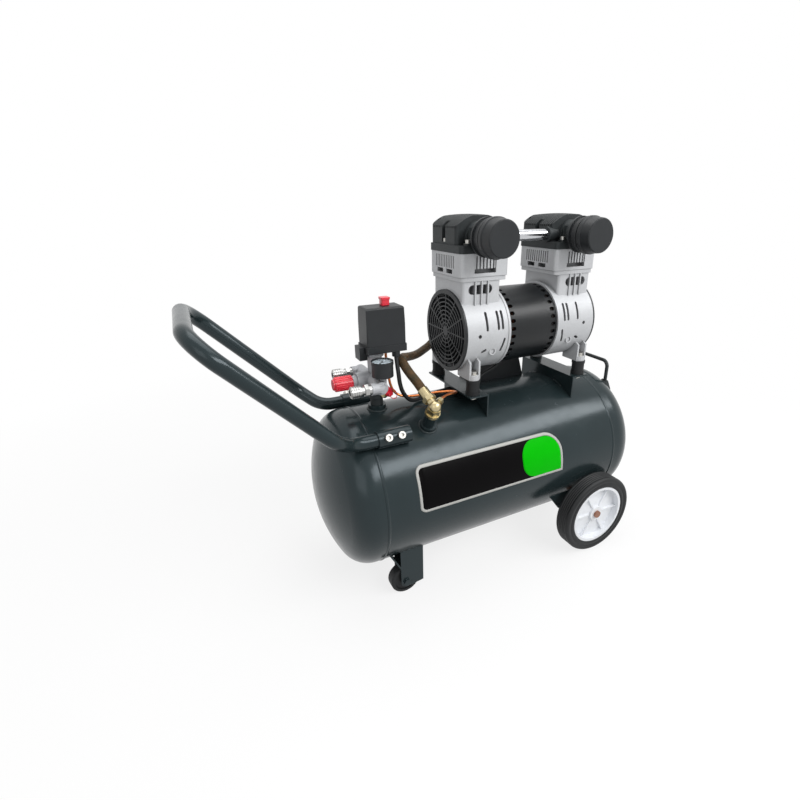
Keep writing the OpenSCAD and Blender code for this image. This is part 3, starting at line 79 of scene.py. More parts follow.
class CompressorSizes(bpy.types.PropertyGroup):
    """Sizes of the pieces that are made here"""

    weld_width: bpy.props.FloatProperty(
        name="Weld width",
        description="Width of the weld beads round brackets and bosses",
        default=0.0045,
        min=0.002,
        max=0.008,
        unit="LENGTH",
    )
    hose_width: bpy.props.FloatProperty(
        name="Hose width",
        description="Outside diameter of the braided discharge hose",
        default=0.017,
        min=0.012,
        max=0.018,
        unit="LENGTH",
    )
    tube_width: bpy.props.FloatProperty(
        name="Copper tube width",
        description="Outside diameter of the unloader tube",
        default=0.005,
        min=0.004,
        max=0.006,
        unit="LENGTH",
    )
    lead_width: bpy.props.FloatProperty(
        name="Lead width",
        description="Outside diameter of the motor's lead",
        default=0.008,
        min=0.006,
        max=0.009,
        unit="LENGTH",
    )
    groove_depth: bpy.props.FloatProperty(
        name="Tread groove depth",
        description="Depth of the round grooves in the tyres",
        default=0.0022,
        min=0.001,
        max=0.004,
        unit="LENGTH",
    )


def colour_property(name, description, default):
    return bpy.props.FloatVectorProperty(
        name=name,
        description=description,
        default=default,
        min=0.0,
        max=1.0,
        size=3,
        subtype="COLOR",
    )


class CompressorColours(bpy.types.PropertyGroup):
    """Colours of the finishes"""

    enamel: colour_property("Enamel", "Enamel of the tank and handle", (0.015, 0.024, 0.026))
    casting: colour_property("Casting", "Paint of the crankcases and blocks", (0.54, 0.55, 0.565))
    manifold: colour_property("Manifold", "Bare zinc casting of the manifold", (0.44, 0.45, 0.47))
    black_casting: colour_property("Black casting", "Head covers", (0.017, 0.020, 0.021))
    plastic: colour_property("Black plastic", "Filters, grilles and switch", (0.014, 0.016, 0.018))
    motor: colour_property("Motor black", "Paint of the motor shell", (0.004, 0.005, 0.006))
    red: colour_property("Red", "Knob, button and safety cap", (0.86, 0.020, 0.045))
    rim: colour_property("Rim white", "Moulded wheel rims", (0.84, 0.86, 0.89))
    rubber: colour_property("Rubber", "Tyres, mounts and small wheels", (0.010, 0.011, 0.012))
    hose: colour_property("Hose braid", "Brown braid of the discharge hose", (0.105, 0.054, 0.019))
    copper: colour_property("Copper", "Bare unloader tube", (0.80, 0.27, 0.09))
    brass: colour_property("Brass", "Check valve, unions and drain", (0.58, 0.49, 0.29))
    badge_green: colour_property("Panel green", "Green end of the name panel", (0.0, 0.48, 0.0))
    dial: colour_property("Dial", "Face of the pressure gauge", (0.78, 0.90, 1.0))


# ------------------------------------------------------------------ materials


class Socket:
    """A shader value. Arithmetic on it adds Math nodes to its tree."""

    def __init__(self, nodes, socket):
        self.nodes = nodes
        self.socket = socket

    def math(self, operation, *terms):
        return self.nodes.node("ShaderNodeMath", {"operation": operation}, dict(enumerate(terms)))

    def __add__(self, other):
        return self.math("ADD", self, other)

    def __radd__(self, other):
        return self.math("ADD", other, self)

    def __sub__(self, other):
        return self.math("SUBTRACT", self, other)

    def __rsub__(self, other):
        return self.math("SUBTRACT", other, self)

    def __mul__(self, other):
        return self.math("MULTIPLY", self, other)

    def __rmul__(self, other):
        return self.math("MULTIPLY", other, self)

    def sine(self):
        return self.math("SINE", self)

    def absolute(self):
        return self.math("ABSOLUTE", self)

    def larger(self, other):
        return self.math("MAXIMUM", self, other)

    def clamped(self, low, high):
        """0 at low and below, 1 at high and above."""
        inputs = {"Value": self, "From Min": low, "From Max": high}
        return self.nodes.node("ShaderNodeMapRange", {"clamp": True}, inputs)


class Nodes:
    """A node tree that is written as Python calls."""

    def __init__(self, tree):
        self.tree = tree
        tree.nodes.clear()

    def put(self, socket, value):
        if isinstance(value, Socket):
            self.tree.links.new(value.socket, socket)
        elif socket.type == "RGBA" and len(value) == 3:
            socket.default_value = (*value, 1.0)
        else:
            socket.default_value = value

    def node(self, kind, settings=None, inputs=None, output=0):
        """Adds a node: its settings first, then the values or links of its sockets."""
        made = self.tree.nodes.new(kind)
        for name, value in (settings or {}).items():
            setattr(made, name, value)
        for name, value in (inputs or {}).items():
            self.put(made.inputs[name], value)
        return made if output is None else Socket(self, made.outputs[output])

    def seen_directly(self):
        """1 for rays from the camera and for those that gloss or glass sends on."""
        camera, gloss, glass = (
            self.node("ShaderNodeLightPath", output="Is %s Ray" % kind)
            for kind in ("Camera", "Glossy", "Transmission")
        )
        return camera.larger(gloss).larger(glass)


class Finish(Nodes):
    """A material with one Principled shader."""

    def __init__(self, name, colour, roughness=0.4, metallic=0.0, **constants):
        self.material = bpy.data.materials.new(name)
        self.material.use_nodes = True
        self.material.diffuse_color = (*colour, 1.0)
        super().__init__(self.material.node_tree)
        self.colour = colour
        self.look = self.node("ShaderNodeBsdfPrincipled")
        self.shader = self.look.socket.node
        ends = {"Surface": self.look}
        self.surface = self.node("ShaderNodeOutputMaterial", None, ends, output=None)
        self.set("Base Color", colour)
        self.set("Roughness", roughness)
        self.set("Metallic", metallic)
        for socket, value in constants.items():
            self.set(socket.replace("_", " "), value)
        self.place = self.node("ShaderNodeTexCoord", output="Object")

    def set(self, socket, value):
        self.put(self.shader.inputs[socket], value)

    def noise(self, scale, detail=2.0, roughness=0.5, place=None):
        inputs = {"Vector": place or self.place, "Scale": scale}
        inputs.update({"Detail": detail, "Roughness": roughness})
        return self.node("ShaderNodeTexNoise", None, inputs)

    def cells(self, scale):
        return self.node("ShaderNodeTexVoronoi", None, {"Vector": self.place, "Scale": scale})

    def stretched(self, x, y, z):
        inputs = {0: self.place, 1: (x, y, z)}
        return self.node("ShaderNodeVectorMath", {"operation": "MULTIPLY"}, inputs)

    def along(self, axis, place=None):
        """One coordinate of a place, in metres for the object's own."""
        return self.node("ShaderNodeSeparateXYZ", None, {0: place or self.place}, axis)

    def mixed(self, factor, first, second):
        inputs = {"Factor": factor, "A": first, "B": second}
        return self.node("ShaderNodeMix", {"data_type": "RGBA"}, inputs, output=2)

    def tinted(self, factor, dark, light):
        """The base colour, from dark times itself to light times itself."""
        low = [min(1.0, dark * c) for c in self.colour]
        high = [min(1.0, light * c) for c in self.colour]
        self.set("Base Color", self.mixed(factor, low, high))

    def painted_crevice_shade(self, reach):
        """Painted shade: 1 on open faces, towards 0 in the piece's own grooves and pockets, from
        ambient occlusion.
        """
        settings = {"only_local": True, "samples": 8}
        seen = self.node("ShaderNodeAmbientOcclusion", settings, {"Distance": reach}, "AO")
        return seen.clamped(0.15, 0.85)

    def bumped(self, height, strength, distance, edge=0.0):
        """Relief, on edges that look rounded off by the width of edge."""
        inputs = {"Height": height, "Strength": strength, "Distance": distance}
        if edge:
            inputs["Normal"] = self.node("ShaderNodeBevel", {"samples": 6}, {"Radius": edge})
        self.set("Normal", self.node("ShaderNodeBump", None, inputs))


MATERIALS = {}


def finish(build):
    """The material that a function makes, made once."""
    if build not in MATERIALS:
        MATERIALS[build] = build().material
    return MATERIALS[build]


def colours():
    return bpy.context.scene.compressor_colours


def sizes():
    return bpy.context.scene.compressor_sizes


def enamel():
    tint = (0.84, 0.94, 1.0)
    f = Finish("slate_enamel", colours().enamel, Specular_IOR_Level=0.34, Specular_Tint=tint)
    broad = f.noise(7, 4, 0.6)
    peel = f.noise(420, 1)
    dust = f.noise(55, 5, 0.7).clamped(0.45, 0.75)
    f.tinted(broad, 0.8, 1.25)
    f.set("Roughness", 0.15 + 0.1 * dust + 0.08 * broad)
    f.bumped(peel + 3.0 * f.noise(9, 2), 0.10, 0.0006, 0.0008)
    return f


def casting(name, colour, grain=1.0):
    f = Finish(name, colour, metallic=0.25)
    sand = f.noise(1500, 2)
    pits = f.cells(520)
    stain = f.noise(26, 4, 0.65)
    speckle = f.noise(650, 2, 0.7)
    # painted shade: ambient occlusion darkens the base colour in grooves and pockets, times the
    # random stain and speckle
    f.tinted(f.painted_crevice_shade(0.014) * (0.55 + 0.2 * stain + 0.44 * speckle), 0.25, 1.12)
    f.set("Roughness", 0.42 + 0.18 * stain + 0.06 * sand)
    f.bumped(sand + 0.6 * pits + 2.0 * f.noise(90, 2), 0.4 * grain, 0.0004, 0.0012)
    return f


def silver_casting():
    return casting("silver_casting", colours().casting)


def manifold_casting():
    return casting("manifold_casting", colours().manifold, 1.6)


def black_casting():
    f = Finish("black_casting", colours().black_casting, Specular_IOR_Level=0.28)
    sand = f.noise(1300, 2)
    haze = f.noise(35, 4, 0.6)
    # painted shade: ambient occlusion darkens the base colour in grooves and pockets, times the
    # random haze
    f.tinted(f.painted_crevice_shade(0.010) * (0.3 + haze), 0.4, 1.9)
    f.set("Roughness", 0.40 + 0.22 * haze)
    f.bumped(sand + 1.5 * f.noise(140, 2), 0.4, 0.0004, 0.001)
    return f


def moulded(name, colour, roughness, grain=1.0, specular=0.34):
    """Moulded plastic with a fine spark-eroded grain."""
    f = Finish(name, colour, Specular_IOR_Level=specular)
    grain_map = f.noise(2200, 1)
    haze = f.noise(30, 3, 0.6)
    f.tinted(haze, 0.8, 1.35)
    f.set("Roughness", roughness - 0.06 + 0.14 * haze)
    f.bumped(grain_map, 0.25 * grain, 0.0002, 0.0008)
    return f


def black_plastic():
    return moulded("black_plastic", colours().plastic, 0.42)


def red_plastic():
    f = moulded("red_plastic", colours().red, 0.3, 0.4, 0.5)
    f.set("Coat Weight", 0.3)
    return f


def rim_white():
    f = moulded("rim_white", colours().rim, 0.32, 0.5, 0.5)
    dirt = f.noise(60, 5, 0.7).clamped(0.55, 0.85)
    f.set("Base Color", f.mixed(dirt * 0.35, colours().rim, (0.5, 0.52, 0.56)))
    return f


def motor_paint():
    f = Finish("motor_paint", colours().motor, Specular_IOR_Level=0.36)
    haze = f.noise(24, 4, 0.6)
    laminations = (f.along("X") * 6000.0).sine()
    f.tinted(haze, 0.8, 1.7)
    f.set("Roughness", 0.26 + 0.16 * haze)
    f.bumped(f.noise(900, 2) + 0.5 * laminations, 0.25, 0.0003, 0.0006)
    return f


def rubber(name="rubber", roughness=0.62):
    f = Finish(name, colours().rubber, Specular_IOR_Level=0.3)
    dust = f.noise(45, 5, 0.7).clamped(0.4, 0.8)
    f.set("Base Color", f.mixed(dust * 0.5, colours().rubber, (0.030, 0.031, 0.032)))
    f.set("Roughness", roughness - 0.08 + 0.18 * dust)
    f.bumped(f.noise(1100, 3), 0.3, 0.0003)
    return f


def tyre_rubber():
    return rubber("tyre_rubber", 0.55)


def turned_metal(name, colour, roughness, stain=0.3):
    """Machined metal: fine turning marks, light tarnish."""
    f = Finish(name, colour, roughness=roughness, metallic=1.0)
    marks = f.noise(1.0, 2, 0.5, f.stretched(900, 900, 2600))
    tarnish = f.noise(110, 4, 0.65)
    f.tinted(tarnish, 1.0 - stain, 1.08)
    f.set("Roughness", roughness - 0.06 + 0.2 * tarnish)
    f.bumped(marks, 0.12, 0.0002)
    return f


def brass():
    return turned_metal("brass", colours().brass, 0.3, 0.35)


def copper():
    f = Finish("copper", colours().copper, roughness=0.28, metallic=1.0)
    tarnish = f.noise(70, 4, 0.6)
    f.set("Base Color", f.mixed(tarnish.clamped(0.35, 0.8), colours().copper, (0.50, 0.14, 0.05)))
    f.set("Roughness", 0.2 + 0.2 * tarnish)
    f.bumped(f.noise(600, 2), 0.08, 0.0002)
    return f


def zinc():
    return turned_metal("zinc_plate", (0.52, 0.51, 0.48), 0.36, 0.25)


def steel():
    return turned_metal("turned_steel", (0.46, 0.46, 0.45), 0.28, 0.2)


def copper_steel():
    return turned_metal("axle_passivated", (0.38, 0.20, 0.14), 0.35, 0.4)


def chrome():
    f = Finish("polished_tube", (0.56, 0.57, 0.59), roughness=0.12, metallic=1.0)
    smear = f.noise(40, 4, 0.6, f.stretched(0.4, 2, 2))
    f.set("Roughness", 0.08 + 0.16 * smear)
    f.bumped(f.noise(700, 1), 0.05, 0.0001)
    return f


def braid():
    """Woven sleeve: two sets of strands that cross, laid out along the hose by its UV map."""
    f = Finish("hose_braid", colours().hose, Specular_IOR_Level=0.3)
    uv = f.node("ShaderNodeTexCoord", output="UV")
    around = f.along("X", uv) * (2 * math.pi * STRANDS)
    along = f.along("Y", uv) * (2 * math.pi * STRANDS * UV_LENGTH)
    weave = ((along + around).sine() * (along - around).sine()).absolute()
    wear = f.noise(60, 4, 0.7)
    f.set("Base Color", f.mixed(wear.clamped(0.35, 0.7), colours().hose, (0.040, 0.035, 0.018)))
    f.set("Roughness", 0.42 + 0.25 * wear)
    f.bumped(weave + 0.4 * wear, 0.7, 0.0006)
    return f


def cable():
    f = Finish("cable_sheath", (0.011, 0.012, 0.013), Specular_IOR_Level=0.35)
    haze = f.noise(80, 3, 0.6)
    f.tinted(haze, 0.8, 1.4)
    f.set("Roughness", 0.38 + 0.2 * haze)
    f.bumped(f.noise(900, 2), 0.15, 0.0002)
    return f


def winding():
    f = Finish("varnished_winding", (0.16, 0.06, 0.03), roughness=0.4, metallic=0.3)
    strands = (f.along("X") * 4000.0).sine()
    f.tinted(strands.clamped(-1.0, 1.0), 0.6, 1.2)
    f.bumped(strands, 0.4, 0.0004)
    return f


def panel_black():
    f = Finish("panel_black", (0.0015, 0.0012, 0.0015), Specular_IOR_Level=0.06)
    f.set("Roughness", 0.26 + 0.14 * f.noise(40, 3))
    f.bumped(f.noise(300, 2), 0.05, 0.0002)
    return f


def panel_green():
    f = Finish("panel_green", colours().badge_green, Specular_IOR_Level=0.08)
    f.tinted(f.noise(30, 3), 0.92, 1.08)
    f.set("Roughness", 0.3 + 0.12 * f.noise(60, 3))
    return f


def panel_silver():
    f = Finish("panel_silver", (0.46, 0.46, 0.44), Specular_IOR_Level=0.3)
    f.set("Roughness", 0.4 + 0.15 * f.noise(200, 3))
    return f


def dial_face():
    f = Finish("dial_face", colours().dial, roughness=0.5)
    f.tinted(f.noise(120, 3), 0.95, 1.04)
    return f


def ink():
    f = Finish("dial_ink", (0.012, 0.012, 0.014), roughness=0.5)
    f.set("Roughness", 0.42 + 0.12 * f.noise(500, 2))
    return f


def clear_glass():
    return Finish("clear_lens", (1.0, 1.0, 1.0), roughness=0.03, IOR=1.45, Transmission_Weight=1.0)


def painted_weld():
    f = Finish("painted_weld", colours().enamel, roughness=0.36, Specular_IOR_Level=0.32)
    ripples = f.noise(320, 3, 0.6)
    f.tinted(ripples, 0.8, 1.25)
    f.bumped(ripples, 0.6, 0.0008)
    return f


CAD_FINISHES = {
    enamel: (
        "tank_shell tank_head_front tank_head_rear tank_ports handle_sockets handle_tube"
        " axle_brackets caster_forks pump_bracket_front pump_bracket_rear"
    ),
    silver_casting: "crankcase_front crankcase_rear cylinder_blocks piston_front piston_rear",
    manifold_casting: "manifold",
    black_casting: "head_covers rear_handle standpipe",
    black_plastic: (
        "fan_grilles fans filter_housings filter_caps gauge_case switch_base switch_cover"
        " capacitor_box"
    ),
    red_plastic: "regulator_knob safety_ring switch_button",
    motor_paint: "motor_shell",
    rubber: "rubber_mounts caster_wheel_left caster_wheel_right",
    brass: "check_valve hose_ends safety_valve drain_body drain_wing",
    zinc: "frame_bolts head_bolts",
    steel: "rotor coupler_bodies coupler_sleeve_left coupler_sleeve_right",
    copper_steel: "axle",
    chrome: "transfer_tube",
    winding: "stator",
    dial_face: "gauge_dial",
    ink: "gauge_needle",
    clear_glass: "gauge_lens",
}


def paint(obj, material):
    obj.data.materials.clear()
    obj.data.materials.append(material)


# ------------------------------------------------------------------ geometry


def piece(name, verts, faces, material, slot, body=ROOT, smooth=True):
    """A mesh piece in the frame that rides on a body. The slot argument is not used."""
    mesh = bpy.data.meshes.new(name)
    mesh.from_pydata([tuple(v) for v in verts], [], faces)
    work = bmesh.new()
    work.from_mesh(mesh)
    bmesh.ops.remove_doubles(work, verts=work.verts, dist=1e-6)
    bmesh.ops.recalc_face_normals(work, faces=work.faces)
    work.to_mesh(mesh)
    work.free()
    for face in mesh.polygons:
        face.use_smooth = smooth
    mesh.materials.append(material)
    obj = bpy.data.objects.new(name, mesh)
    bpy.context.scene.collection.objects.link(obj)
    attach(obj, body)
    return obj


def joined(parts):
    """Several (verts, faces) lists as one."""
    verts, faces = [], []
    for more_verts, more_faces in parts:
        start = len(verts)
        verts += [Vector(v) for v in more_verts]
        faces += [[start + i for i in face] for face in more_faces]
    return verts, faces


def lathe(profile, steps):
    """A closed outline of (radius, height) turned round the Z axis."""
    verts, faces = [], []
    count = len(profile)
    for k in range(steps):
        turn = 2 * math.pi * k / steps
        verts += [Vector((r * math.cos(turn), r * math.sin(turn), h)) for r, h in profile]
    for k in range(steps):
        here, after = k * count, (k + 1) % steps * count
        for i in range(count):
            j = (i + 1) % count
            faces.append([here + i, here + j, after + j, after + i])
    return verts, faces


def arc(centre_r, centre_h, radius, start, stop, steps):
    """Points of a rounded corner in a lathe outline, angles in degrees."""
    turns = [math.radians(start + (stop - start) * k / steps) for k in range(steps + 1)]
    return [(centre_r + radius * math.cos(t), centre_h + radius * math.sin(t)) for t in turns]


def smooth_route(points, parts):
    """Catmull-Rom points between the given ones, as the part's own hoses use."""
    done = []
    last = len(points) - 1
    for i in range(last):
        a, b = points[max(i - 1, 0)], points[i]
        c, d = points[i + 1], points[min(i + 2, last)]
        for k in range(parts):
            t = k / parts
            bend = (2 * a - 5 * b + 4 * c - d) * t * t
            twist = (3 * b - a - 3 * c + d) * t**3
            done.append(0.5 * (2 * b + (c - a) * t + bend + twist))
    return done + [points[last]]


def swept(route, width, sides, closed=False, lumps=0.0):
    """Rings carried along a route without twist; the ends are capped unless it is closed."""
    verts, faces = [], []
    count = len(route)
    side = None
    for i, point in enumerate(route):
        before = route[i - 1] if i or closed else route[0]
        after = route[(i + 1) % count] if i < count - 1 or closed else route[-1]
        along = (after - before).normalized()
        if side is None:
            side = along.orthogonal().normalized()
        side = (side - along * side.dot(along)).normalized()
        other = along.cross(side)
        for k in range(sides):
            turn = 2 * math.pi * k / sides
            out = side * math.cos(turn) + other * math.sin(turn)
            reach = width / 2
            if lumps:
                reach += lumps * noise.noise((point + out * reach) * 260)
            verts.append(point + out * reach)
    rings = count if closed else count - 1
    for i in range(rings):
        here, ahead = i * sides, (i + 1) % count * sides
        for k in range(sides):
            n = (k + 1) % sides
            faces.append([here + k, here + n, ahead + n, ahead + k])
    if not closed:
        faces.append(list(range(sides))[::-1])
        faces.append([(count - 1) * sides + k for k in range(sides)])
    return verts, faces


def add_tube_uv(obj, sides, width):
    """UV of a swept tube: once round it, and once in UV_LENGTH circumferences along it."""
    mesh = obj.data
    layer = mesh.uv_layers.new(name="along_tube")
    walk = [0.0]
    rings = len(mesh.vertices) // sides
    middles = []
    for i in range(rings):
        ring = [mesh.vertices[i * sides + k].co for k in range(sides)]
        middles.append(sum(ring, Vector()) / sides)
    for i in range(1, rings):
        walk.append(walk[-1] + (middles[i] - middles[i - 1]).length)
    for face in mesh.polygons:
        around = [mesh.loops[loop].vertex_index % sides for loop in face.loop_indices]
        seam = max(around) - min(around) > sides / 2
        for loop, k in zip(face.loop_indices, around):
            ring = mesh.loops[loop].vertex_index // sides
            u = (k + (sides if seam and k < sides / 2 else 0)) / sides
            layer.data[loop].uv = (u, walk[ring] / (math.pi * width) / UV_LENGTH)


def placed_route(route):
    """A route in millimetres from the tank's middle, in the frame in metres."""
    return [Vector((TANK_X + x / 1000, y / 1000, z / 1000)) for x, y, z in route]


def move(verts, matrix):
    return [matrix @ v for v in verts]


def facing(centre, direction):
    """Matrix that puts local +Z along a direction at a centre."""
    turn = Vector(direction).to_track_quat("Z", "Y").to_matrix().to_4x4()
    return Matrix.Translation(Vector(centre)) @ turn


def on_tank(x, y):
    """The point of the tank's upper skin over (x, y)."""
    return Vector((x, y, TANK_Z + math.sqrt(TANK_R**2 - y * y)))


# ------------------------------------------------------------------ operators


class COMPRESSOR_OT_finishes(bpy.types.Operator):
    """Gives every node of the part its finish"""

    bl_idname = "compressor.finishes"
    bl_label = "Finishes"

    def execute(self, context):
        for build, names in CAD_FINISHES.items():
            material = finish(build)
            for name in names.split():
                paint(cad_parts[name], material)
        return {"FINISHED"}


# Middle lines of the three cords, in millimetres from the tank's middle on the floor
HOSE_ROUTE = [
    (-166.8, -76.2, 414.6), (-171, -60, 426), (-176, -44, 437), (-179.5, -29, 448),
    (-178, -13, 454.5), (-169, 3, 454), (-155, 21, 448), (-133, 43, 441), (-110, 63, 437),
    (-86, 82, 438), (-63, 95, 444), (-45, 99, 460), (-34, 99, 488), (-28, 98, 522),
    (-25, 97, 562), (-23, 93, 600), (-21, 86, 630), (-21, 80, 650),
]
UNLOADER_ROUTE = [
    (-203, 4, 473), (-203, 4, 462), (-202, 3, 448), (-200, 2, 424), (-197, 2, 405), (-190, 2, 389),
    (-177, -1, 379), (-156, -7, 376), (-131, -15, 378), (-109, -26, 382), (-93, -38, 385),
    (-84, -50, 387), (-88, -61, 390), (-101, -71, 394), (-118, -80, 397), (-131, -88.3, 397.6),
    (-141.6, -96, 395.3),
]
LEAD_ROUTE = [
    (-191, -17, 476.5), (-191, -17, 466), (-191.5, -22, 450), (-192, -28, 434), (-191, -30, 418),
    (-187, -30, 402), (-179, -27, 388), (-166, -20, 375), (-150, -11, 368.3), (-134, -5, 368),
    (-113, 1, 368), (-92, 6, 368.3), (-68, 10, 369), (-45, 10, 370), (-22, 10, 373), (0, 9, 380),
    (22, 6, 392), (40, 2, 402), (49, 0, 411), (50, 0, 421),
]


class COMPRESSOR_OT_hoses(bpy.types.Operator):
    """Makes the braided hose, the copper tube and the motor's lead as smooth tubes"""

    bl_idname = "compressor.hoses"
    bl_label = "Hose, tube and lead"

    # Steps from each point of a route to the next
    steps = 8

    def tube(self, node, ending, route, width, build, sides, slot):
        """One cord in place of its node."""
        verts, faces = swept(smooth_route(placed_route(route), self.steps), width, sides)
        obj = piece("%s_%s" % (node, ending), verts, faces, finish(build), slot=slot)
        add_tube_uv(obj, sides, width)
        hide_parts(node)

    def execute(self, context):
        s = sizes()
        self.tube("discharge_hose", "braided", HOSE_ROUTE, s.hose_width, braid, 32, "hose")
        self.tube("unloader_tube", "bent", UNLOADER_ROUTE, s.tube_width, copper, 20, "copper")
        self.tube("motor_lead", "sheath", LEAD_ROUTE, s.lead_width, cable, 20, "cable")
        return {"FINISHED"}


class COMPRESSOR_OT_wheels(bpy.types.Operator):
    """Makes the tyres with their tread grooves and rounded shoulders"""

    bl_idname = "compressor.wheels"
    bl_label = "Tyres"

    # Roundings at the bead and at the shoulder, and how far they start below the face and crown
    bead_round = 0.004
    bead_start = 0.0045
    shoulder = 0.007
    edge_gap = 0.0002
    # The round groove in the outer side: its edges and middle from the bead, its face and floor
    side_groove = (0.0085, 0.0100, 0.0115)
    side_face = 0.0010
    side_floor = 0.0020
    # Grooves round the tread: number, pitch, half width, the lip beside them, and the floor's
    # share of the width
    grooves = 5
    pitch = 0.0048
    half = 0.0008
    lip = 0.0004
    floor_share = 0.7

    def profile(self, bead, crown, width):
        """Outline of a tyre, from the outer face at height 0 inward."""
        depth = sizes().groove_depth
        curl = bead + self.bead_round
        turn = crown - self.shoulder
        near, middle, far = (bead + reach for reach in self.side_groove)
        points = [(bead, -width + self.bead_start), (bead, -self.bead_start)]
        points += arc(curl, -self.bead_start, self.bead_round, 180, 90, 4)
        points += [(near, -self.side_face), (middle, -self.side_floor), (far, -self.side_face)]
        points += arc(turn, -self.shoulder - self.edge_gap, self.shoulder, 80, 10, 7)
        for k in range(self.grooves):
            height = -width / 2 - self.pitch * (k - (self.grooves - 1) / 2)
            points += [
                (crown - self.edge_gap, height + self.half + self.lip),
                (crown - depth, height + self.half * self.floor_share),
                (crown - depth, height - self.half * self.floor_share),
                (crown - self.edge_gap, height - self.half - self.lip),
            ]
        points += arc(turn, -width + self.shoulder + self.edge_gap, self.shoulder, -10, -80, 7)
        points += [(far, -width + self.side_face), (near, -width + self.side_face)]
        points += arc(curl, -width + self.bead_start, self.bead_round, -90, -180, 4)[:-1]
        return points

    def execute(self, context):
        for side, name in ((-1, "left"), (1, "right")):
            node = "tyre_" + name
            low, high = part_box(node)
            width = high.y - low.y
            crown = (high.z - low.z) / 2
            middle = (low + high) / 2
            rim_low, rim_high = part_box("rim_" + name)
            bead = (rim_high.z - rim_low.z) / 2 + 0.0001
            outer = high.y if side > 0 else low.y
            verts, faces = lathe(self.profile(bead, crown, width), 144)
            verts = move(verts, facing((middle.x, outer, middle.z), (0, side, 0)))
            obj = piece(
                "tyre_%s_moulded" % name,
                verts,
                faces,
                finish(tyre_rubber),
                body="wheel_" + name,
                slot="tyre_rubber",
            )
            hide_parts(node)
            paint(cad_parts["rim_" + name], finish(rim_white))
        return {"FINISHED"}


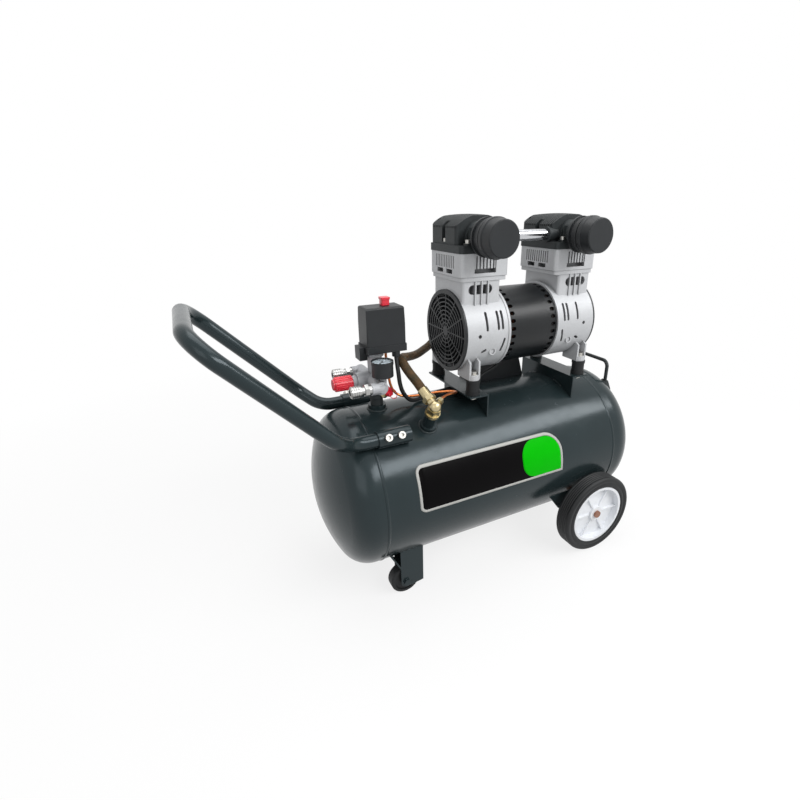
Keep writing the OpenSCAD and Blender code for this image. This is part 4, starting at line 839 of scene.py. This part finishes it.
class COMPRESSOR_OT_name_panel(bpy.types.Operator):
    """Makes the blank name panel: black field, silver border and green end"""

    bl_idname = "compressor.name_panel"
    bl_label = "Name panel"

    # The panel's size, its border's width and its middle ahead of and above the tank's, in metres
    length = 0.330
    height = 0.085
    rim = 0.006
    middle_x = -0.0465
    middle_z = 0.045
    # Corner radii from the lower left on, counter-clockwise, and the least that an inset leaves
    corners = (0.014, 0.0015, 0.0425, 0.014)
    least_round = 0.0012
    # The green end's length and its left corners, as shares of the panel's and of its own height
    end_share = 0.29
    end_round = 0.42
    # Heights above the tank's skin of the sheets' undersides, the field, the end and the border
    skin_gap = 0.0001
    field_top = 0.0005
    end_top = 0.0009
    border_top = 0.0011

    def outline(self, length, height, corners, steps=10):
        """Counter-clockwise outline with its own radius at each corner, from the lower left."""
        x, y = length / 2, height / 2
        places = [(-x, -y, 180), (x, -y, 270), (x, y, 0), (-x, y, 90)]
        arcs = []
        for (px, py, start), r in zip(places, corners):
            cx = px - math.copysign(r, px)
            cy = py - math.copysign(r, py)
            turns = [math.radians(start + 90 * k / steps) for k in range(steps + 1)]
            arcs.append([(cx + r * math.cos(turn), cy + r * math.sin(turn)) for turn in turns])
        points = []
        for corner, after in zip(arcs, arcs[1:] + arcs[:1]):
            (u0, v0), (u1, v1) = corner[-1], after[0]
            shares = [k / steps for k in range(1, steps)]
            points += corner + [(u0 + (u1 - u0) * s, v0 + (v1 - v0) * s) for s in shares]
        return points

    def on_skin(self, u, v, lift):
        x = TANK_X + self.middle_x + u
        z = self.middle_z + v
        return Vector((x, -math.sqrt((TANK_R + lift) ** 2 - z * z), TANK_Z + z))

    def span(self, outline, v):
        """The outline's left and right ends at a height."""
        found = []
        for (u0, v0), (u1, v1) in zip(outline, outline[1:] + outline[:1]):
            if min(v0, v1) <= v <= max(v0, v1) and abs(v1 - v0) > 1e-9:
                found.append(u0 + (u1 - u0) * (v - v0) / (v1 - v0))
        return min(found), max(found)

    def sheet(self, outline, low, high, shift=(0.0, 0.0)):
        """A sheet that lies on the tank's skin, filled by rows between the outline's two sides."""
        verts, faces = [], []
        rows, columns = 28, 24
        top = 0.9999 * max(v for _, v in outline)
        levels = [-top * math.cos(math.pi * k / rows) for k in range(rows + 1)]
        for lift in (high, low):
            for v in levels:
                left, right = self.span(outline, v)
                for k in range(columns + 1):
                    u = left + (right - left) * k / columns
                    verts.append(self.on_skin(u + shift[0], v + shift[1], lift))
        wide = columns + 1
        layer = (rows + 1) * wide
        for r in range(rows):
            for k in range(columns):
                a = r * wide + k
                faces.append([a, a + 1, a + wide + 1, a + wide])
                faces.append([layer + a + wide, layer + a + wide + 1, layer + a + 1, layer + a])
        edge = list(range(wide))
        edge += [r * wide + columns for r in range(1, rows + 1)]
        edge += [rows * wide + k for k in range(columns - 1, -1, -1)]
        edge += [r * wide for r in range(rows - 1, 0, -1)]
        for i, a in enumerate(edge):
            b = edge[(i + 1) % len(edge)]
            faces.append([b, a, layer + a, layer + b])
        return verts, faces

    def border(self, outer, inner, low, high):
        """A raised strip between two outlines with equal numbers of points."""
        verts, faces = [], []
        count = len(outer)
        rise = (high - low) * 0.6
        for u, v in outer:
            verts.append(self.on_skin(u, v, low))
        for scale in (0.15, 0.5, 0.85):
            lift = high if scale == 0.5 else low + rise
            for (u, v), (p, q) in zip(outer, inner):
                verts.append(self.on_skin(u + (p - u) * scale, v + (q - v) * scale, lift))
        for u, v in inner:
            verts.append(self.on_skin(u, v, low))
        for row in range(4):
            for i in range(count):
                j = (i + 1) % count
                a, b = row * count, (row + 1) * count
                faces.append([a + i, a + j, b + j, b + i])
        for i in range(count):
            j = (i + 1) % count
            faces.append([4 * count + i, 4 * count + j, j, i])
        return verts, faces

    def inset(self, reach):
        """The panel's outline brought in all round."""
        corners = [max(r - reach, self.least_round) for r in self.corners]
        return self.outline(self.length - 2 * reach, self.height - 2 * reach, corners)

    def execute(self, context):
        rim = self.rim
        sheet = self.sheet(self.inset(rim * 0.9), self.skin_gap, self.field_top)
        obj = piece("name_panel_field", *sheet, finish(panel_black), slot="badge")
        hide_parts("badge_plate")
        edge = self.border(self.inset(0.0), self.inset(rim), self.skin_gap, self.border_top)
        piece("name_panel_border", *edge, finish(panel_silver), slot="badge")
        length, height = self.end_share * self.length, self.height - 2 * rim
        left = self.end_round * height
        right = self.corners[2] - rim
        leaf = self.outline(length, height, [left, self.least_round, right, left])
        place = ((self.length - length) / 2 - rim, 0.0)
        sheet = self.sheet(leaf, self.field_top, self.end_top, place)
        obj = piece("name_panel_end", *sheet, finish(panel_green), slot="badge_green")
        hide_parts("badge_leaf")
        return {"FINISHED"}


class COMPRESSOR_OT_gauge_face(bpy.types.Operator):
    """Prints the scale on the gauge's dial and adds its bezel"""

    bl_idname = "compressor.gauge_face"
    bl_label = "Gauge face"

    # Turns in degrees of the scale's start and of its whole sweep, and the number of its marks
    start = 225
    sweep = 270
    marks = 33
    # Reaches of the marks and of the numbers, as shares of the dial's radius
    mark_end = 0.88
    long_mark = 0.70
    short_mark = 0.79
    numbers = 0.52

    def scale(self, middle, radius):
        """The marks of the scale, every fourth of them long."""
        lift = Vector((0, 0, 0.00002))
        depth = Vector((0, 0, 0.0001))
        parts = []
        for k in range(self.marks):
            turn = math.radians(self.start - self.sweep * k / (self.marks - 1))
            long = k % 4 == 0
            r0 = radius * (self.long_mark if long else self.short_mark)
            r1 = radius * self.mark_end
            out = Vector((math.cos(turn), math.sin(turn), 0))
            across = Vector((-out.y, out.x, 0)) * (0.00028 if long else 0.00016)
            base = middle + lift
            ends = [out * r0 - across, out * r1 - across, out * r1 + across, out * r0 + across]
            verts = [base + end for end in ends] + [base + end + depth for end in ends]
            faces = [[3, 2, 1, 0], [4, 5, 6, 7]]
            faces += [[i, (i + 1) % 4, (i + 1) % 4 + 4, i + 4] for i in range(4)]
            parts.append((verts, faces))
        piece("dial_scale", *joined(parts), finish(ink), smooth=False, slot="needle_black")

    def number(self, context, text, place):
        words = bpy.data.curves.new("dial_number_%s" % text, "FONT")
        words.body = text
        words.size = 0.0048
        words.align_x = "CENTER"
        words.align_y = "CENTER"
        words.extrude = 0.00005
        words.materials.append(finish(ink))
        obj = bpy.data.objects.new("dial_number_%s" % text, words)
        obj.location = place
        context.scene.collection.objects.link(obj)
        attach(obj, ROOT)

    def bezel(self, middle):
        """A rolled rim over the case's edge, with a skirt down its side."""
        low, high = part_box("gauge_case")
        outside = (high.x - low.x) / 2
        inside = outside - 0.0015
        back = outside - 0.0010
        under = high.z - 0.0016
        skirt = high.z - 0.0060
        outline = [(inside, under), (inside, high.z - 0.0003)]
        outline += arc(back, high.z - 0.0007, 0.0009, 110, 0, 6)
        outline += [(outside - 0.0001, skirt), (back, skirt), (back, under)]
        verts, faces = lathe(outline, 96)
        verts = [v + Vector((middle.x, middle.y, 0)) for v in verts]
        piece("gauge_bezel", verts, faces, finish(black_plastic), slot="black_plastic")

    def execute(self, context):
        low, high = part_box("gauge_dial")
        radius = (high.x - low.x) / 2
        middle = (low + high) / 2
        middle.z = high.z
        self.scale(middle, radius)
        for k, text in enumerate(("0", "4", "8", "12", "16")):
            turn = math.radians(self.start - self.sweep * k / 4)
            out = Vector((math.cos(turn), math.sin(turn), 0)) * (radius * self.numbers)
            self.number(context, text, middle + out + Vector((0, 0, 0.00008)))
        self.bezel(middle)
        return {"FINISHED"}


class COMPRESSOR_OT_welds(bpy.types.Operator):
    """Adds the weld beads where brackets, sockets and bosses meet the tank"""

    bl_idname = "compressor.welds"
    bl_label = "Weld beads"

    # Reaches of the beads round the standpipe's and the check valve's bosses, and their lumps
    stand_reach = 0.0178
    valve_reach = 0.0163
    lumps = 0.0006
    # Beads along the pump's brackets: where they start from the tank's middle, how far before
    # the bracket's end they stop, and the bracket's reach as a share of the tank's radius
    bracket_start = 0.030
    bracket_gap = 0.032
    bracket_share = 0.84
    bracket_points = 15
    stand_off = 0.0006

    def boss_bead(self, x, y, reach, axis):
        """A closed bead round a boss whose axis crosses the tank's skin at (x, y)."""
        out = Vector(axis).normalized()
        side = Vector((1, 0, 0))
        other = out.cross(side)
        start = on_tank(x, y)
        route = []
        steps = 48
        for k in range(steps):
            turn = 2 * math.pi * k / steps
            p = start + (side * math.cos(turn) + other * math.sin(turn)) * reach
            local = Vector((0, p.y, p.z - TANK_Z)).normalized() * TANK_R
            route.append(Vector((p.x, local.y, TANK_Z + local.z)))
        return self.bead(route, closed=True)

    def bead(self, route, closed=False):
        return swept(route, sizes().weld_width, 10, closed, self.lumps)

    def execute(self, context):
        lean = Vector((0, -math.sin(VALVE_TILT), math.cos(VALVE_TILT)))
        beads = [
            self.boss_bead(TANK_X - STAND_BACK, 0, self.stand_reach, (0, 0, 1)),
            self.boss_bead(TANK_X - VALVE_BACK, TANK_R * lean.y, self.valve_reach, lean),
        ]
        for node, side in (("pump_bracket_front", 1), ("pump_bracket_rear", -1)):
            low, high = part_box(node)
            x = (high.x if side > 0 else low.x) + side * self.stand_off
            end = min(self.bracket_share * TANK_R, high.y) - self.bracket_gap
            step = (end - self.bracket_start) / (self.bracket_points - 1)
            for sign in (-1, 1):
                ys = [sign * (self.bracket_start + step * k) for k in range(self.bracket_points)]
                beads.append(self.bead([on_tank(x, y) for y in ys]))
        verts, faces = joined(beads)
        piece("weld_beads", verts, faces, finish(painted_weld), slot="tank_paint")
        return {"FINISHED"}


class COMPRESSOR_OT_stage(bpy.types.Operator):
    """Sets the floor, the lights, the world and the camera"""

    bl_idname = "compressor.stage"
    bl_label = "Stage"

    # Name, place, aim, size in metres and watts of each lamp
    lamps = (
        ("key", (1.3, -1.9, 2.2), (0, 0, 0.35), (2.8, 0.9), 65),
        ("top", (0.3, 0.4, 2.8), (0, 0, 0.3), (2.4, 2.0), 34),
        ("fill", (-2.0, -1.7, 1.5), (0, 0, 0.35), (1.6, 1.6), 9),
    )

    def floor(self, context):
        mesh = bpy.data.meshes.new("floor")
        half = 6.0
        corners = [(-half, -half, 0), (half, -half, 0), (half, half, 0), (-half, half, 0)]
        mesh.from_pydata(corners, [], [[0, 1, 2, 3]])
        floor = bpy.data.objects.new("floor", mesh)
        context.scene.collection.objects.link(floor)
        f = Finish("floor_paint", (0.45, 0.45, 0.45), roughness=0.9)
        glow = f.node("ShaderNodeEmission", None, {"Color": (1.0, 1.0, 1.0)})
        away = f.node("ShaderNodeVectorMath", {"operation": "LENGTH"}, {0: f.place}, "Value")
        f.set("Base Color", f.mixed(f.seen_directly(), f.colour, (0.9, 0.9, 0.9)))
        share = f.seen_directly() * (0.80 + 0.20 * away.clamped(0.7, 1.7))
        shown = f.node("ShaderNodeMixShader", None, {0: share, 1: f.look, 2: glow})
        f.put(f.surface.inputs["Surface"], shown)
        mesh.materials.append(f.material)

    def lamp(self, context, name, place, aim, size, power):
        light = bpy.data.lights.new(name, "AREA")
        light.shape = "RECTANGLE"
        light.size, light.size_y = size
        light.energy = power
        obj = bpy.data.objects.new(name, light)
        obj.location = place
        obj.rotation_euler = (Vector(aim) - Vector(place)).to_track_quat("-Z", "Y").to_euler()
        context.scene.collection.objects.link(obj)

    def world(self, context):
        world = bpy.data.worlds.new("studio")
        context.scene.world = world
        world.use_nodes = True
        n = Nodes(world.node_tree)
        white = (1.0, 1.0, 1.0)
        light = n.node("ShaderNodeBackground", None, {"Color": white, "Strength": 0.40})
        backdrop = n.node("ShaderNodeBackground", None, {"Color": white, "Strength": 1.0})
        shown = n.node("ShaderNodeMixShader", None, {0: n.seen_directly(), 1: light, 2: backdrop})
        n.node("ShaderNodeOutputWorld", None, {"Surface": shown}, output=None)

    def camera(self, context):
        data = bpy.data.cameras.new("camera")
        data.sensor_width = 36.0
        data.lens = 21.11
        data.shift_x = -0.0463
        data.shift_y = 0.0049
        obj = bpy.data.objects.new("camera", data)
        obj.location = (TANK_X - 0.5128, -0.7860, 0.7181)
        obj.rotation_euler = (math.radians(90 - 22.76), 0, math.radians(-27.89))
        context.scene.collection.objects.link(obj)
        context.scene.camera = obj

    def execute(self, context):
        self.floor(context)
        self.world(context)
        self.camera(context)
        for lamp in self.lamps:
            self.lamp(context, *lamp)
        context.scene.view_settings.view_transform = "Standard"
        return {"FINISHED"}


class COMPRESSOR_PT_sidebar(bpy.types.Panel):
    """Lists the sizes, the colours and the pieces"""

    bl_label = "Air compressor"
    bl_idname = "COMPRESSOR_PT_sidebar"
    bl_space_type = "VIEW_3D"
    bl_region_type = "UI"
    bl_category = "Compressor"

    def draw(self, context):
        layout = self.layout
        for group in (context.scene.compressor_sizes, context.scene.compressor_colours):
            box = layout.box()
            for name in group.__annotations__:
                box.prop(group, name)
        for operator in OPERATORS:
            layout.operator(operator.bl_idname)


SETTINGS = (CompressorSizes, CompressorColours)
OPERATORS = (
    COMPRESSOR_OT_finishes,
    COMPRESSOR_OT_hoses,
    COMPRESSOR_OT_wheels,
    COMPRESSOR_OT_name_panel,
    COMPRESSOR_OT_gauge_face,
    COMPRESSOR_OT_welds,
    COMPRESSOR_OT_stage,
)


def register():
    for cls in (*SETTINGS, *OPERATORS, COMPRESSOR_PT_sidebar):
        bpy.utils.register_class(cls)
    bpy.types.Scene.compressor_sizes = bpy.props.PointerProperty(type=CompressorSizes)
    bpy.types.Scene.compressor_colours = bpy.props.PointerProperty(type=CompressorColours)


def unregister():
    del bpy.types.Scene.compressor_sizes
    del bpy.types.Scene.compressor_colours
    for cls in (COMPRESSOR_PT_sidebar, *reversed(OPERATORS), *reversed(SETTINGS)):
        bpy.utils.unregister_class(cls)


def main():
    register()
    bpy.ops.compressor.finishes()
    bpy.ops.compressor.hoses()
    bpy.ops.compressor.wheels()
    bpy.ops.compressor.name_panel()
    bpy.ops.compressor.gauge_face()
    bpy.ops.compressor.welds()
    bpy.ops.compressor.stage()


if __name__ == "__main__":
    main()
